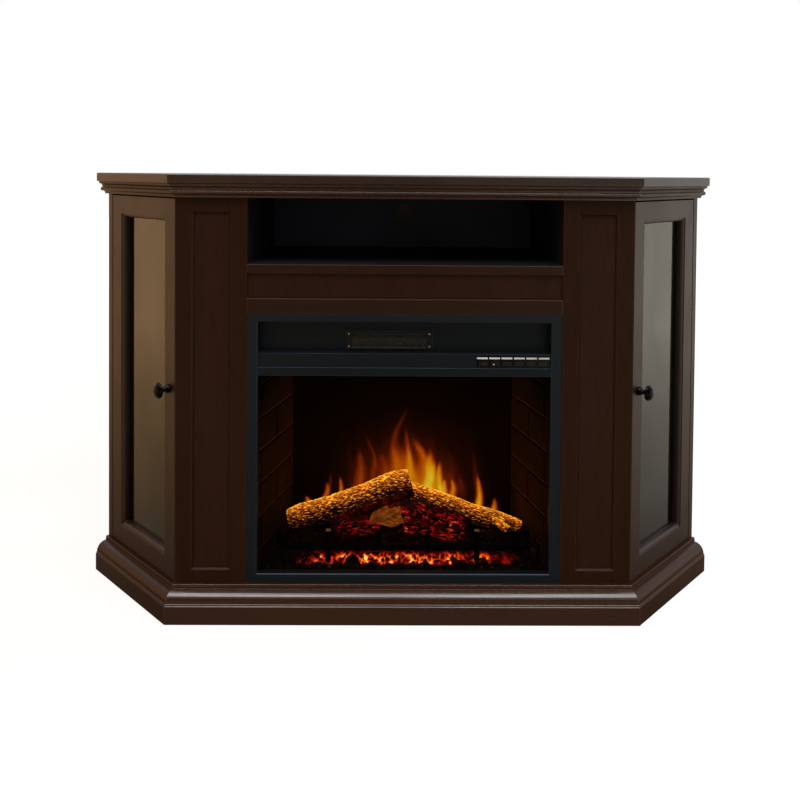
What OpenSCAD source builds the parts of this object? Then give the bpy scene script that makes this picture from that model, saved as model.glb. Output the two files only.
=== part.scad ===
// Electric corner fireplace: a media cabinet with two canted glass doors around a fire insert.
// Its origin is the middle of the footprint on the floor, front towards -Y, +Z up, in millimetres.

/* [Cabinet body] */
// Width of the flat front between the two canted doors
front_w = 844; // [830:1:900]
// Length of each canted side along its face
cant_len = 269; // [262:1:300]
// Depth of the body from its front face to its back
body_d = 352; // [340:1:400]
// Height of the open media niche
niche_h = 122; // [108:1:160]
// Thickness of the structural boards
board_t = 18; // [15:1:22]
// Thickness of the outer side panels, seen as a strip beside each door
side_t = 16; // [14:1:20]
// Thickness of the pilasters, header and doors
face_t = 20; // [19:1:22]
// Thickness of the back panels
back_t = 6; // [4:1:9]
// Thickness of the inset panels
inset_t = 6; // [4:1:8]
// Height of the header above the insert
header_h = 91; // [80:1:100]
// Height of the base rails below the bottom board, floor glides included
rail_t = 18; // [15:1:22]

/* [Top and mouldings] */
// Thickness of the top slab
slab_t = 18; // [15:1:25]
// Overhang of the top slab over the front faces
slab_out = 22; // [19:1:30]
// Edge radius of the top slab
slab_r = 3; // [1:0.5:6]
// Overhang of the slab and crown moulding past the outer side panels
end_out = 8; // [3:1:12]
// Projection of the foot of the crown moulding
crown_foot = 4; // [2:0.5:6]
// Radius of the lower cove of the crown moulding
crown_low_r = 6; // [4:0.5:7]
// Radius of the bead of the crown moulding
crown_bead_r = 4; // [3:0.5:5]
// Radius of the upper cove of the crown moulding
crown_top_r = 7; // [5:0.5:8]
// Height of the fillet at the top of the crown moulding
crown_fillet = 4; // [2:0.5:6]
// Height of the square block of the plinth
plinth_block_h = 34; // [30:1:44]
// Overhang of the plinth over the front faces
plinth_out = 28; // [27:1:34]
// Radius of the thin bead above the plinth block
plinth_bead_r = 1.5; // [1:0.25:2]
// Radius of the quarter round of the plinth
plinth_round_r = 18; // [14:0.5:20]
// Height of the lip above the quarter round
plinth_lip_h = 8; // [6:0.5:10]

/* [Pilasters and header] */
// Width of the stiles and rails around an inset panel
stile_w = 33; // [26:1:38]
// Height of the header's upper rail
header_top_rail = 17; // [12:1:24]
// Height of the header's lower rail
header_low_rail = 28; // [20:1:34]
// Depth of an inset panel behind the face
inset_depth = 5; // [5:0.5:10]
// Bevel round an inset panel
inset_bevel = 3; // [1:0.5:4]

/* [Doors] */
// Width of the door stiles and rails
door_stile_w = 43; // [36:1:46]
// Gap between a door and the pilaster beside it
door_near_gap = 2; // [1.5:0.25:3]
// Gap between a door and the side panel at its hinges
door_hinge_gap = 3.5; // [3.5:0.25:5]
// Gap above and below a door
door_gap = 3; // [2:0.5:5]
// Depth of the glass behind the door face
glass_depth = 14; // [12:0.5:15]
// Thickness of the door glass
door_glass_t = 3; // [3:0.5:4]
// Width of the rabbet that holds the door glass
rabbet_w = 6; // [5:0.5:6]
// Radius of the moulded inner edge of the door frame
sticking_r = 7; // [4:0.5:9]
// Distance of each hinge from the end of its door
hinge_inset = 118; // [80:1:160]
// Radius of a hinge cup
cup_r = 9; // [8:0.5:9]
// Radius of a hinge pin
hinge_pin_r = 2; // [1.5:0.25:2.5]
// Radius of a knob's head
knob_r = 14.5; // [12:0.5:17]
// Projection of a knob
knob_len = 29; // [25:0.5:34]

/* [Shelves] */
// Thickness of the side shelves
shelf_t = 14; // [12:1:18]
// Height of the lower side shelf above the bottom board
shelf_low = 251; // [200:1:300]
// Distance of the upper side shelf's top below the sub-top
shelf_drop = 219; // [160:1:240]
// Radius of a shelf pin
shelf_pin_r = 2.45; // [2:0.05:3]
// Diameter of the cable hole in the back of the media niche
cable_hole_d = 46; // [35:1:60]
// Height of the cable hole above the niche floor
cable_hole_up = 76; // [50:1:85]

/* [Fire insert] */
// Width of the insert's trim frame
trim_w = 580; // [560:1:600]
// Depth of the trim frame
trim_d = 16; // [14:1:20]
// Width of the trim at the sides
trim_side = 19; // [15:1:24]
// Width of the trim at the bottom
trim_low = 16; // [12:1:20]
// Width of the trim at the top
trim_top = 15; // [12:1:20]
// Clearance round the trim frame
trim_gap = 1; // [0.5:0.5:3]
// Distance of the trim behind the cabinet face
trim_set = 0.5; // [0:0.5:3]
// Thickness of the folded sheet metal
sheet_t = 1.5; // [1:0.25:2]
// Depth of the insert's case behind the trim
case_d = 266; // [250:1:285]
// Distance of the case inside the trim's outline
case_in = 8; // [5:1:10]
// Height of the window above the trim's lower border
window_h = 369; // [340:1:380]
// Height of the lower lip of the control bar
lip_h = 15; // [14:1:22]
// Height of the control bar
bar_h = 26; // [25:0.5:30]
// Height of the vent recess above the control bar
vent_h = 58; // [50:1:65]
// Depth of the vent recess behind the trim face
vent_depth = 28; // [24:1:34]
// Thickness of the window glass
window_t = 4; // [3:0.5:5]
// Depth of the firebox from the window glass to the flame screen
firebox_d = 172; // [160:1:185]
// Inward slant of each brick side panel over the firebox depth
brick_slant = 44; // [30:1:60]
// Thickness of the brick panels
brick_t = 8; // [6:1:10]
// Height of a course of bricks
brick_h = 62.5; // [50:0.5:75]
// Width of a mortar joint
mortar_w = 3; // [2:0.5:5]

/* [Controls] */
// Width of the control panel
panel_w = 136; // [134:1:138]
// Height of the control panel
panel_h = 21; // [20.5:0.5:22]
// Distance of the control panel's end from the trim's inner edge
panel_in = 2; // [2:1:30]
// Number of push buttons
button_count = 6; // [6]
// Distance between neighbouring buttons
button_pitch = 22; // [20:0.5:23]
// Width of a button
button_w = 16; // [12:0.5:17]
// Height of a button
button_h = 7.5; // [6:0.5:8]
// Travel of a button
button_travel = 1; // [0.5:0.1:1.2]

/* [Heater and flame drive] */
// Width of the outlet grille
grille_w = 163; // [150:1:170]
// Height of the outlet grille
grille_h = 39; // [38:1:43]
// Distance of the grille's middle from the middle of the front
grille_x = -29; // [-60:1:0]
// Radius of a grille hole
grille_hole_r = 1.6; // [1:0.1:1.8]
// Radius of the blower wheel
wheel_r = 24; // [18:0.5:26]
// Radius of the wheel and spinner shafts
shaft_r = 3; // [2:0.25:4]
// Number of blades on the blower wheel
blade_count = 16; // [8:1:24]
// Number of reflectors on the flame spinner
petal_count = 12; // [6:1:16]
// Height of the flame spinner's shaft above the case floor
spinner_up = 86; // [70:1:120]

/* [Log set] */
// Side of the square grate bar
grate_bar = 10; // [8:0.5:12]
// Height of the grate bars' top above the case floor
grate_up = 47; // [44:1:56]
// Height of the uprights above the grate bars
upright_h = 26; // [15:1:35]
// Number of uprights and of fore-and-aft grate bars
upright_count = 6; // [4:1:8]
// Clearance between the ends of the grate's front bar and the trim's inner edge
grate_side = 28; // [26:1:45]
// Depth of the grate
grate_d = 100; // [90:1:110]
// Distance of the grate behind the window glass
grate_back = 28; // [24:1:34]
// Clearance between the logs and what they rest on
log_fit = 0.3; // [0.1:0.1:0.5]

/* [Hidden] */
$fn = 48;

// Plan of the cabinet
half_w = front_w / 2;
front_y = (plinth_out - body_d) / 2;
back_y = front_y + body_d;
board_back = back_y - back_t;
cant_a = 45;
mitre = tan(cant_a / 2);
s45 = sqrt(0.5);
open_half = trim_w / 2 + trim_gap;
reach = 90;

// Heights of the cabinet
base_z = plinth_block_h + 2 * plinth_bead_r + plinth_round_r + plinth_lip_h;
crown_h = crown_low_r + 2 * crown_bead_r + crown_top_r + crown_fillet;
trim_h = trim_low + window_h + lip_h + bar_h + vent_h + trim_top;
header_z = base_z + trim_h + 2 * trim_gap;
niche_z = header_z + header_h;
crown_z = niche_z + niche_h;
slab_z = crown_z + crown_h;
top_z = slab_z + slab_t;
glide_h = 4;
glide_r = rail_t / 2 - 0.5;
wood_fit = 0.5;
stretcher_h = 3 * board_t;

// Doors, in the canted side's own frame: u along the face, w inwards, z up
door_u0 = door_near_gap;
door_u1 = cant_len - side_t - door_hinge_gap;
door_z0 = base_z + door_gap;
door_z1 = crown_z - door_gap;
hinge_edge = 9;
hinge_u = door_u1 - hinge_edge;
hinge_w = 7.5;
hinge_fit = 0.05;
knuckle_r = hinge_pin_r + 2.2;
knuckle_h = 16;
ear_gap = 0.3;
ear_t = 4.2;
cup_edge = 22;
cup_u = door_u1 - cup_edge;
cup_depth = 10;
cup_wall = 1.5;
cup_floor = 2;
ear_side = 1.5;
pocket_u = 15;
pocket_fit = 0.3;
flange_t = 1.2;
flange_half_h = 15;
arm_t = 3;
arm_w = 4;
mortise_h = knuckle_h / 2 + ear_gap + ear_t + wood_fit;
knob_u = door_u0 + door_stile_w / 2;
knob_z = (door_z0 + door_z1) / 2;
knob_screw_r = 2;
knob_screw_fit = 0.1;
knob_screw_in = 9;

// Insert
case_z = base_z;
case_half = trim_w / 2 - case_in;
case_top = base_z + trim_gap + trim_h - 3;
case_floor = case_z + sheet_t;
trim_y = front_y + trim_set;
case_y = trim_y + trim_d;
case_back = case_y + case_d;
trim_z = base_z + trim_gap;
view_half = trim_w / 2 - trim_side;
window_z = trim_z + trim_low;
window_top = window_z + window_h;
bar_z = window_top + lip_h;
bar_top = bar_z + bar_h;
vent_top = trim_z + trim_h - trim_top;
ceiling_z = window_top + 3;
glass_y = case_y;
fire_y = glass_y + window_t;
screen_y = fire_y + firebox_d;
screen_t = 3;
vent_y = trim_y + vent_depth;
sheet_back = 2;
lip_set = 1.5;
bar_set = 4;

// Controls
panel_x = view_half - panel_in - panel_w / 2;
panel_z = (bar_z + bar_top) / 2;
panel_proud = 0.8;
panel_body = 8;
panel_edge = 2;
button_drop = 4.5;
button_fit = 0.3;
button_face = trim_y + bar_set - panel_proud - 1.2;
flange_y = trim_y + bar_set + panel_body + button_fit;
button_flange = 1;
led_up = 2.6;
led_r = 1.2;
nub_h = 1.5;
pcb_back = 19;
pcb_y = trim_y + pcb_back;
pcb_t = 1.6;
pcb_edge = 7;
post_r = 2.5;
switch_w = 6;
chip_w = 22;
chip_t = 4;

// Heater and flame drive
grille_z = bar_top + 1 + grille_h / 2;
plate_t = 2;
duct_in = 4;
wheel_back = 64;
wheel_y = vent_y + wheel_back;
wheel_z = (ceiling_z + case_top) / 2;
wheel_gap = 3.5;
shaft_fit = 0.05;
duct_x0 = grille_x - grille_w / 2 + duct_in;
duct_x1 = grille_x + grille_w / 2 - duct_in;
motor_r = 19;
spinner_y = (screen_y + screen_t + case_back) / 2 + 4;
spinner_z = case_floor + spinner_up;
spinner_end = 82;
spinner_half = case_half - spinner_end;
petal_w = 24;
petal_h = 34;

// Log set
grate_y = fire_y + grate_back;
grate_top = case_floor + grate_up;
log_floor = grate_top + log_fit;
bed_z = case_floor + 4;
strip_h = 1.6;

function cant_pt(u, w) = [half_w + (u - w) * s45, front_y + (u + w) * s45];
function cant_x(u, y) = half_w + 2 * u * s45 - (y - front_y);
function flip(p) = [-p[0], p[1]];
function arc(cx, cy, r, a0, a1, n = 6) =
    [for (i = [0:n]) let (a = a0 + (a1 - a0) * i / n) [cx + r * cos(a), cy + r * sin(a)]];

// Plan outline with the front edges moved out and the ends moved past the side panels
function plan(out, end, y1) = let (u = cant_len + end, p = cant_pt(u, -out), q = [cant_x(u, y1), y1])
    [[-half_w - mitre * out, front_y - out], [half_w + mitre * out, front_y - out], p, q,
        flip(q), flip(p)];

module box(x0, x1, y0, y1, z0, z1) {
    translate([x0, y0, z0])
        cube([x1 - x0, y1 - y0, z1 - z0]);
}

module plan_board(out, end, y1, z0, z1) {
    translate([0, 0, z0])
        linear_extrude(z1 - z0)
            polygon(plan(out, end, y1));
}

module both_sides() {
    children();
    mirror([1, 0, 0])
        children();
}

module one_side(side) {
    if (side == "right")
        children();
    else
        mirror([1, 0, 0])
            children();
}

module canted() {
    translate([half_w, front_y, 0])
        rotate([0, 0, cant_a])
            children();
}

// A profile of projection against height, run along the front between its mitres
module front_run() {
    intersection() {
        translate([0, front_y, 0])
            rotate([90, 0, -90])
                linear_extrude(front_w + reach, center = true)
                    children();
        translate([0, front_y, -reach])
            linear_extrude(top_z + 2 * reach)
                polygon([[-half_w - mitre * reach, -reach], [half_w + mitre * reach, -reach],
                    [half_w - mitre * reach, reach], [-half_w + mitre * reach, reach]]);
    }
}

// The same profile run along the right canted side, from the mitre to its cut end
module cant_run(past) {
    canted()
        intersection() {
            rotate([90, 0, -90])
                linear_extrude(2 * (cant_len + reach), center = true)
                    children();
            translate([0, 0, -reach])
                linear_extrude(top_z + 2 * reach)
                    polygon([[-mitre * reach, -reach], [cant_len + past, -reach],
                        [cant_len + past, reach], [mitre * reach, reach]]);
        }
}

// Everything outside the slab's rounded edge, so that the slab can be cut from a plain board
module slab_edge_cut() {
    p = slab_out - slab_r;
    far = slab_out + face_t;
    rotate([90, 0, -90])
        linear_extrude(2 * front_w, center = true)
            polygon(concat([[far, slab_z - 1], [p, slab_z - 1]],
                arc(p, slab_z + slab_r, slab_r, -90, 0, 4), arc(p, top_z - slab_r, slab_r, 0, 90, 4),
                [[p, top_z + 1], [far, top_z + 1]]));
}

module crown_profile() {
    bead_z = crown_low_r + crown_bead_r;
    bead_p = crown_foot + crown_low_r;
    cove_z = bead_z + crown_bead_r;
    translate([0, crown_z])
        polygon(concat([[0, 0]], arc(bead_p, 0, crown_low_r, 180, 90, 5),
            arc(bead_p, bead_z, crown_bead_r, -90, 90, 8),
            arc(bead_p + crown_top_r, cove_z, crown_top_r, 180, 90, 5),
            [[bead_p + crown_top_r, crown_h], [0, crown_h]]));
}

module plinth_profile() {
    bead_p = plinth_out - plinth_bead_r - 1;
    bead_z = plinth_block_h + plinth_bead_r;
    round_p = bead_p - plinth_round_r;
    round_z = bead_z + plinth_bead_r;
    lip_r = plinth_lip_h / 2;
    polygon(concat([[0, 0], [plinth_out, 0], [plinth_out, plinth_block_h - 1],
        [plinth_out - 1, plinth_block_h]],
        arc(bead_p, bead_z, plinth_bead_r, -90, 90, 4),
        arc(round_p, round_z, plinth_round_r, 0, 90, 9),
        [[round_p - 1, base_z - plinth_lip_h], [round_p - 1, base_z - lip_r]],
        [[round_p - 2, base_z], [0, base_z]]));
}

module top_panel() {
    color("#4a352b")
        difference() {
            plan_board(slab_out + face_t / 2, end_out, back_y, slab_z, top_z);
            translate([0, front_y, 0])
                slab_edge_cut();
            both_sides()
                canted()
                    slab_edge_cut();
        }
}

module sub_top() {
    color("#46332a")
        plan_board(0, 0, board_back, crown_z, slab_z);
}

module crown_front() {
    color("#4a352b")
        front_run()
            crown_profile();
}

module crown_sides() {
    color("#4a352b")
        both_sides()
            cant_run(end_out)
                crown_profile();
}

module plinth_front() {
    color("#4a352b")
        front_run()
            plinth_profile();
}

module plinth_sides() {
    color("#4a352b")
        both_sides()
            cant_run(0)
                plinth_profile();
}

module base_panel() {
    color("#46332a")
        plan_board(0, 0, board_back, base_z - board_t, base_z);
}

module base_rails() {
    top = base_z - board_t;
    corner = rail_t * 2;
    color("#3d2c24") {
        box(-half_w + corner, half_w - corner, front_y, front_y + rail_t, glide_h, top);
        box(-half_w + corner, half_w - corner, board_back - rail_t, board_back, glide_h, top);
        both_sides() {
            box(open_half, open_half + rail_t, front_y + rail_t, board_back - rail_t, glide_h, top);
            canted() {
                box(corner, cant_len - rail_t, 0, rail_t, glide_h, top);
                box(cant_len - rail_t, cant_len, 0, body_d / 2, glide_h, top);
            }
        }
    }
}

module floor_glides() {
    edge = rail_t / 2;
    color("#2a2a2a")
        both_sides() {
            for (x = [edge + open_half / 3, half_w - rail_t * 4])
                for (y = [front_y + edge, board_back - edge])
                    translate([x, y, 0])
                        cylinder(h = glide_h, r = glide_r);
            canted()
                for (w = [rail_t, body_d / 2 - rail_t])
                    translate([cant_len - edge, w, 0])
                        cylinder(h = glide_h, r = glide_r);
        }
}

// An opening with a bevelled front edge, centred on X and Z, from the face y = 0 to y = t
module bevelled_opening(w, h, t, bevel) {
    translate([-w / 2, -1, -h / 2])
        cube([w, t + 2, h]);
    intersection() {
        linear_extrude(h + 2 * bevel + 2, center = true)
            polygon([[-w / 2 - bevel - 1, -1], [w / 2 + bevel + 1, -1], [w / 2, bevel],
                [-w / 2, bevel]]);
        rotate([90, 0, 90])
            linear_extrude(w + 2 * bevel + 2, center = true)
                polygon([[-1, -h / 2 - bevel - 1], [bevel, -h / 2], [bevel, h / 2],
                    [-1, h / 2 + bevel + 1]]);
    }
}

pil_x0 = open_half + stile_w;
pil_x1 = half_w - stile_w;
pil_z0 = base_z + stile_w - 6;
pil_z1 = crown_z - stile_w + 4;
rail_z0 = header_z + header_low_rail;
rail_z1 = niche_z - header_top_rail;

module pilaster() {
    difference() {
        translate([0, 0, base_z])
            linear_extrude(crown_z - base_z)
                polygon([[open_half, front_y], [half_w, front_y], [half_w - face_t, front_y + face_t],
                    [open_half, front_y + face_t]]);
        translate([(pil_x0 + pil_x1) / 2, front_y, (pil_z0 + pil_z1) / 2])
            bevelled_opening(pil_x1 - pil_x0, pil_z1 - pil_z0, face_t, inset_bevel);
        box(pil_x0 - rabbet_w, pil_x1 + rabbet_w, front_y + inset_depth, front_y + face_t + 1,
            pil_z0 - rabbet_w, pil_z1 + rabbet_w);
    }
}

module left_pilaster() {
    color("#48342b")
        one_side("left")
            pilaster();
}

module right_pilaster() {
    color("#48342b")
        one_side("right")
            pilaster();
}

module inset_panels() {
    y0 = front_y + inset_depth;
    edge = rabbet_w - wood_fit;
    color("#45322a") {
        both_sides()
            box(pil_x0 - edge, pil_x1 + edge, y0, y0 + inset_t, pil_z0 - edge, pil_z1 + edge);
        box(-open_half + wood_fit, open_half - wood_fit, y0, y0 + inset_t, rail_z0 - edge,
            rail_z1 + edge);
    }
}

// Two rails, one above the other, rabbeted at the back for the inset panel between them
module header_frame() {
    x = open_half - wood_fit / 2;
    y1 = front_y + face_t;
    lap = front_y + inset_depth;
    color("#4b372c")
        rotate([90, 0, 90])
            linear_extrude(2 * x, center = true) {
                polygon([[front_y, header_z], [front_y, rail_z0 - 1], [front_y + 1, rail_z0],
                    [lap, rail_z0], [lap, rail_z0 - rabbet_w], [y1, rail_z0 - rabbet_w],
                    [y1, header_z]]);
                polygon([[front_y + 1, niche_z], [front_y, niche_z - 1], [front_y, rail_z1 + 1],
                    [front_y + 1, rail_z1], [lap, rail_z1], [lap, rail_z1 + rabbet_w],
                    [y1, rail_z1 + rabbet_w], [y1, niche_z]]);
            }
}

module media_shelf() {
    color("#1d1a19")
        box(-open_half, open_half, front_y + face_t, board_back, niche_z - board_t, niche_z);
}

pin_y = [front_y + face_t + 40, board_back - 55];
pin_w = [face_t + 58, body_d / 2 + 10];
shelf_z = [base_z + shelf_low, crown_z - shelf_drop - shelf_t];
pin_in = 10;
pin_out = 10;
pin_fit = 0.05;

module divider() {
    x1 = open_half + board_t;
    difference() {
        box(open_half, x1, front_y + face_t, board_back, base_z, crown_z);
        for (z = shelf_z, y = pin_y)
            translate([x1 - pin_in - 0.5, y, z - shelf_pin_r])
                rotate([0, 90, 0])
                    cylinder(h = pin_in + 1, r = shelf_pin_r + pin_fit);
    }
}

module dividers() {
    color("#3b2b23")
        both_sides()
            divider();
}

module side_panel() {
    u0 = cant_len - side_t;
    color("#48342b")
        difference() {
            translate([0, 0, base_z])
                linear_extrude(crown_z - base_z)
                    polygon([cant_pt(cant_len, 0), [cant_x(cant_len, board_back), board_back],
                        [cant_x(u0, board_back), board_back], cant_pt(u0, 0)]);
            canted()
                for (z = shelf_z, w = pin_w)
                    translate([u0 - 1, w, z - shelf_pin_r])
                        rotate([0, 90, 0])
                            cylinder(h = pin_in + 1.5, r = shelf_pin_r + pin_fit);
        }
}

module left_side_panel() {
    one_side("left")
        side_panel();
}

module right_side_panel() {
    one_side("right")
        side_panel();
}

module side_back_panels() {
    x0 = open_half + board_t / 2 + wood_fit / 2;
    color("#33261f")
        both_sides()
            translate([0, 0, base_z - board_t])
                linear_extrude(slab_z - base_z + board_t)
                    polygon([[x0, board_back], [cant_x(cant_len, board_back), board_back],
                        [cant_x(cant_len, back_y), back_y], [x0, back_y]]);
}

module centre_back_panel() {
    x = open_half + board_t / 2 - wood_fit / 2;
    color("#1d1a19")
        difference() {
            box(-x, x, board_back, back_y, niche_z - 2 * board_t, slab_z);
            translate([0, back_y + 1, niche_z + cable_hole_up])
                rotate([90, 0, 0])
                    cylinder(h = back_t + 2, d = cable_hole_d);
        }
}

// Boards that stiffen the open back below the niche
module back_stretchers() {
    color("#3b2b23")
        for (z = [base_z, niche_z - board_t - stretcher_h])
            box(-open_half, open_half, board_back - board_t, board_back, z, z + stretcher_h);
}

module side_shelf() {
    c = 1;
    w0 = face_t + 12;
    y0 = front_y + face_t + c;
    y1 = board_back - c;
    u1 = cant_len - side_t - c;
    x0 = open_half + board_t + c;
    linear_extrude(shelf_t)
        polygon([[x0, y0], [half_w + (y0 - front_y) - 2 * w0 * s45, y0], cant_pt(u1, w0),
            [cant_x(u1, y1), y1], [x0, y1]]);
}

module side_shelves() {
    color("#463229")
        both_sides()
            for (z = shelf_z)
                translate([0, 0, z + pin_fit])
                    side_shelf();
}

module shelf_pins() {
    x1 = open_half + board_t;
    u0 = cant_len - side_t;
    color("silver")
        both_sides()
            for (z = shelf_z) {
                for (y = pin_y)
                    translate([x1 - pin_in, y, z - shelf_pin_r])
                        rotate([0, 90, 0])
                            cylinder(h = pin_in + pin_out, r = shelf_pin_r);
                canted()
                    for (w = pin_w)
                        translate([u0 - pin_out, w, z - shelf_pin_r])
                            rotate([0, 90, 0])
                                cylinder(h = pin_in + pin_out, r = shelf_pin_r);
            }
}

hinge_z = [door_z0 + hinge_inset, door_z1 - hinge_inset];

// The fixed half of a hinge: a ring round the pin, an arm and a plate on the side panel
module hinge_arms() {
    u0 = cant_len - side_t;
    w0 = face_t + arm_w;
    plate_l = 38;
    plate_h = 14;
    screw_r = 3;
    color("silver")
        both_sides()
            canted()
                for (z = hinge_z)
                    translate([0, 0, z]) {
                        difference() {
                            union() {
                                translate([hinge_u, hinge_w, -knuckle_h / 2])
                                    cylinder(h = knuckle_h, r = knuckle_r);
                                box(hinge_u - arm_t / 2, hinge_u + arm_t / 2, hinge_w, w0 + arm_t,
                                    -knuckle_h / 2, knuckle_h / 2);
                                box(hinge_u - arm_t / 2, u0, w0, w0 + arm_t, -knuckle_h / 2,
                                    knuckle_h / 2);
                                box(u0 - plate_t, u0, w0, w0 + plate_l, -plate_h, plate_h);
                            }
                            translate([hinge_u, hinge_w, -knuckle_h])
                                cylinder(h = 2 * knuckle_h, r = hinge_pin_r + hinge_fit);
                        }
                        for (k = [-1, 1])
                            translate([u0 - plate_t - 1.5, w0 + plate_l * 0.65, k * plate_h / 2])
                                rotate([0, 90, 0])
                                    cylinder(h = 1.5, r = screw_r);
                    }
}

strike_h = 16;
strike_u = door_u0 + 12;
strike_w = 22;
catch_gap = 0.3;

module door_catches() {
    w0 = face_t + flange_t + catch_gap;
    color("#2a2a2a")
        both_sides()
            canted()
                box(strike_u, strike_u + strike_w, w0, w0 + 14, door_z1 - strike_h, crown_z);
}

// Section of a door member, from its outer edge to the moulded edge at the glass
module member_profile() {
    e = door_stile_w;
    polygon(concat([[0, 0], [e - sticking_r, 0]],
        arc(e - sticking_r, 1.5 + sticking_r, sticking_r, -90, 0, 5),
        [[e, glass_depth], [e - rabbet_w, glass_depth], [e - rabbet_w, face_t], [0, face_t]]));
}

module near_stile() {
    translate([door_u0, 0, door_z0])
        linear_extrude(door_z1 - door_z0)
            member_profile();
}

module hinge_stile() {
    translate([door_u1, 0, door_z0])
        mirror([1, 0, 0])
            linear_extrude(door_z1 - door_z0)
                member_profile();
}

module rail_bar() {
    lap = door_stile_w - sticking_r;
    translate([door_u1 - lap, 0, 0])
        rotate([0, -90, 0])
            linear_extrude(door_u1 - door_u0 - 2 * lap)
                member_profile();
}

module door_rail() {
    difference() {
        rail_bar();
        translate([0, 0, -door_z0]) {
            near_stile();
            hinge_stile();
        }
    }
}

module hinge_pocket() {
    deep = face_t + 1;
    box(door_u1 - pocket_u, door_u1 + 1, hinge_w - knuckle_r - wood_fit, deep, -mortise_h,
        mortise_h);
    box(cup_u - pocket_fit, door_u1 - pocket_u + 1, face_t - cup_depth - pocket_fit, deep,
        -mortise_h, mortise_h);
    translate([cup_u, deep, 0])
        rotate([90, 0, 0])
            cylinder(h = cup_depth + 1, r = cup_r + 0.1);
}

// Strips that hold the glass in its rabbet from behind
module glass_stops() {
    u0 = door_u0 + door_stile_w - rabbet_w;
    u1 = door_u1 - door_stile_w + rabbet_w;
    z0 = door_z0 + door_stile_w - rabbet_w;
    z1 = door_z1 - door_stile_w + rabbet_w;
    w0 = glass_depth + door_glass_t;
    for (u = [u0, u1 - rabbet_w])
        box(u, u + rabbet_w, w0, face_t, z0, z1);
    for (z = [z0, z1 - rabbet_w])
        box(u0 + rabbet_w, u1 - rabbet_w, w0, face_t, z, z + rabbet_w);
}

module door_frame() {
    canted() {
        difference() {
            near_stile();
            translate([knob_u, face_t + 1, knob_z])
                rotate([90, 0, 0])
                    cylinder(h = face_t + 2, r = knob_screw_r + knob_screw_fit);
        }
        difference() {
            hinge_stile();
            for (z = hinge_z)
                translate([0, 0, z])
                    hinge_pocket();
        }
        translate([0, 0, door_z0])
            door_rail();
        translate([0, 0, door_z1])
            mirror([0, 0, 1])
                door_rail();
        glass_stops();
    }
}

module left_door_frame() {
    color("#4a352b")
        one_side("left")
            door_frame();
}

module right_door_frame() {
    color("#4a352b")
        one_side("right")
            door_frame();
}

module door_glass() {
    edge = door_stile_w - rabbet_w + wood_fit;
    canted()
        box(door_u0 + edge, door_u1 - edge, glass_depth, glass_depth + door_glass_t,
            door_z0 + edge, door_z1 - edge);
}

module left_door_glass() {
    color("#9fb4b8", 0.4)
        one_side("left")
            door_glass();
}

module right_door_glass() {
    color("#9fb4b8", 0.4)
        one_side("right")
            door_glass();
}

module knob() {
    head = knob_len - 14;
    bore_r = knob_screw_r + hinge_fit;
    screw_head_r = 4.5;
    canted()
        translate([knob_u, 0, knob_z])
            rotate([90, 0, 0]) {
                difference() {
                    rotate_extrude()
                        polygon(concat([[0, 0], [8.2, 0], [8.2, 1.5]], arc(0, 1.5, 8.2, 0, 50, 5),
                            [[4.2, 10.5], [4, head - 1.5], [5.5, head]],
                            arc(knob_r - 3, head + 6, 3, -60, 60, 6),
                            [[knob_r * 0.62, knob_len - 1.4], [knob_r * 0.3, knob_len - 0.3],
                                [0, knob_len]]));
                    translate([0, 0, -1])
                        cylinder(h = knob_screw_in + 1.5, r = bore_r);
                }
                translate([0, 0, -face_t - 0.05])
                    cylinder(h = face_t + knob_screw_in, r = knob_screw_r);
                translate([0, 0, -face_t - 2.2])
                    cylinder(h = 2.2, r = screw_head_r);
            }
}

module left_knob() {
    color("#2d2c2e")
        one_side("left")
            knob();
}

module right_knob() {
    color("#2d2c2e")
        one_side("right")
            knob();
}

// The moving half of a hinge: a cup and flange in the door, two ears and the pin between them
module hinge_cup() {
    ear0 = knuckle_h / 2 + ear_gap;
    ear_u0 = hinge_u - hinge_pin_r - ear_side;
    ear_u1 = hinge_u + hinge_pin_r + ear_side;
    ear_w0 = hinge_w - hinge_pin_r - ear_side;
    ear_w1 = face_t - cup_depth + 2 * ear_side;
    difference() {
        union() {
            translate([cup_u, face_t, 0])
                rotate([90, 0, 0])
                    cylinder(h = cup_depth, r = cup_r);
            box(cup_u - cup_r - 1, cup_u + cup_r - 0.2, face_t, face_t + flange_t, -flange_half_h,
                flange_half_h);
            for (k = [0, 1])
                mirror([0, 0, k]) {
                    box(cup_u, ear_u1, face_t - cup_depth, ear_w1, ear0, ear0 + ear_t);
                    box(ear_u0, ear_u1, ear_w0, ear_w1, ear0, ear0 + ear_t);
                }
        }
        translate([cup_u, face_t + cup_floor, 0])
            rotate([90, 0, 0])
                cylinder(h = cup_depth, r = cup_r - cup_wall);
    }
    translate([hinge_u, hinge_w, -ear0 - ear_t])
        cylinder(h = 2 * (ear0 + ear_t), r = hinge_pin_r);
}

module hinge_cups() {
    canted() {
        for (z = hinge_z)
            translate([0, 0, z])
                hinge_cup();
        box(strike_u, strike_u + strike_w, face_t, face_t + flange_t, door_z1 - strike_h,
            door_z1 - 2);
    }
}

module left_hinge_cups() {
    color("silver")
        one_side("left")
            hinge_cups();
}

module right_hinge_cups() {
    color("silver")
        one_side("right")
            hinge_cups();
}

module insert_trim() {
    z1 = trim_z + trim_h;
    color("#3c4043")
        difference() {
            box(-trim_w / 2, trim_w / 2, trim_y, case_y, trim_z, z1);
            translate([0, trim_y, (window_z + vent_top) / 2])
                bevelled_opening(2 * view_half, vent_top - window_z, trim_d, 1.5);
        }
}

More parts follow.
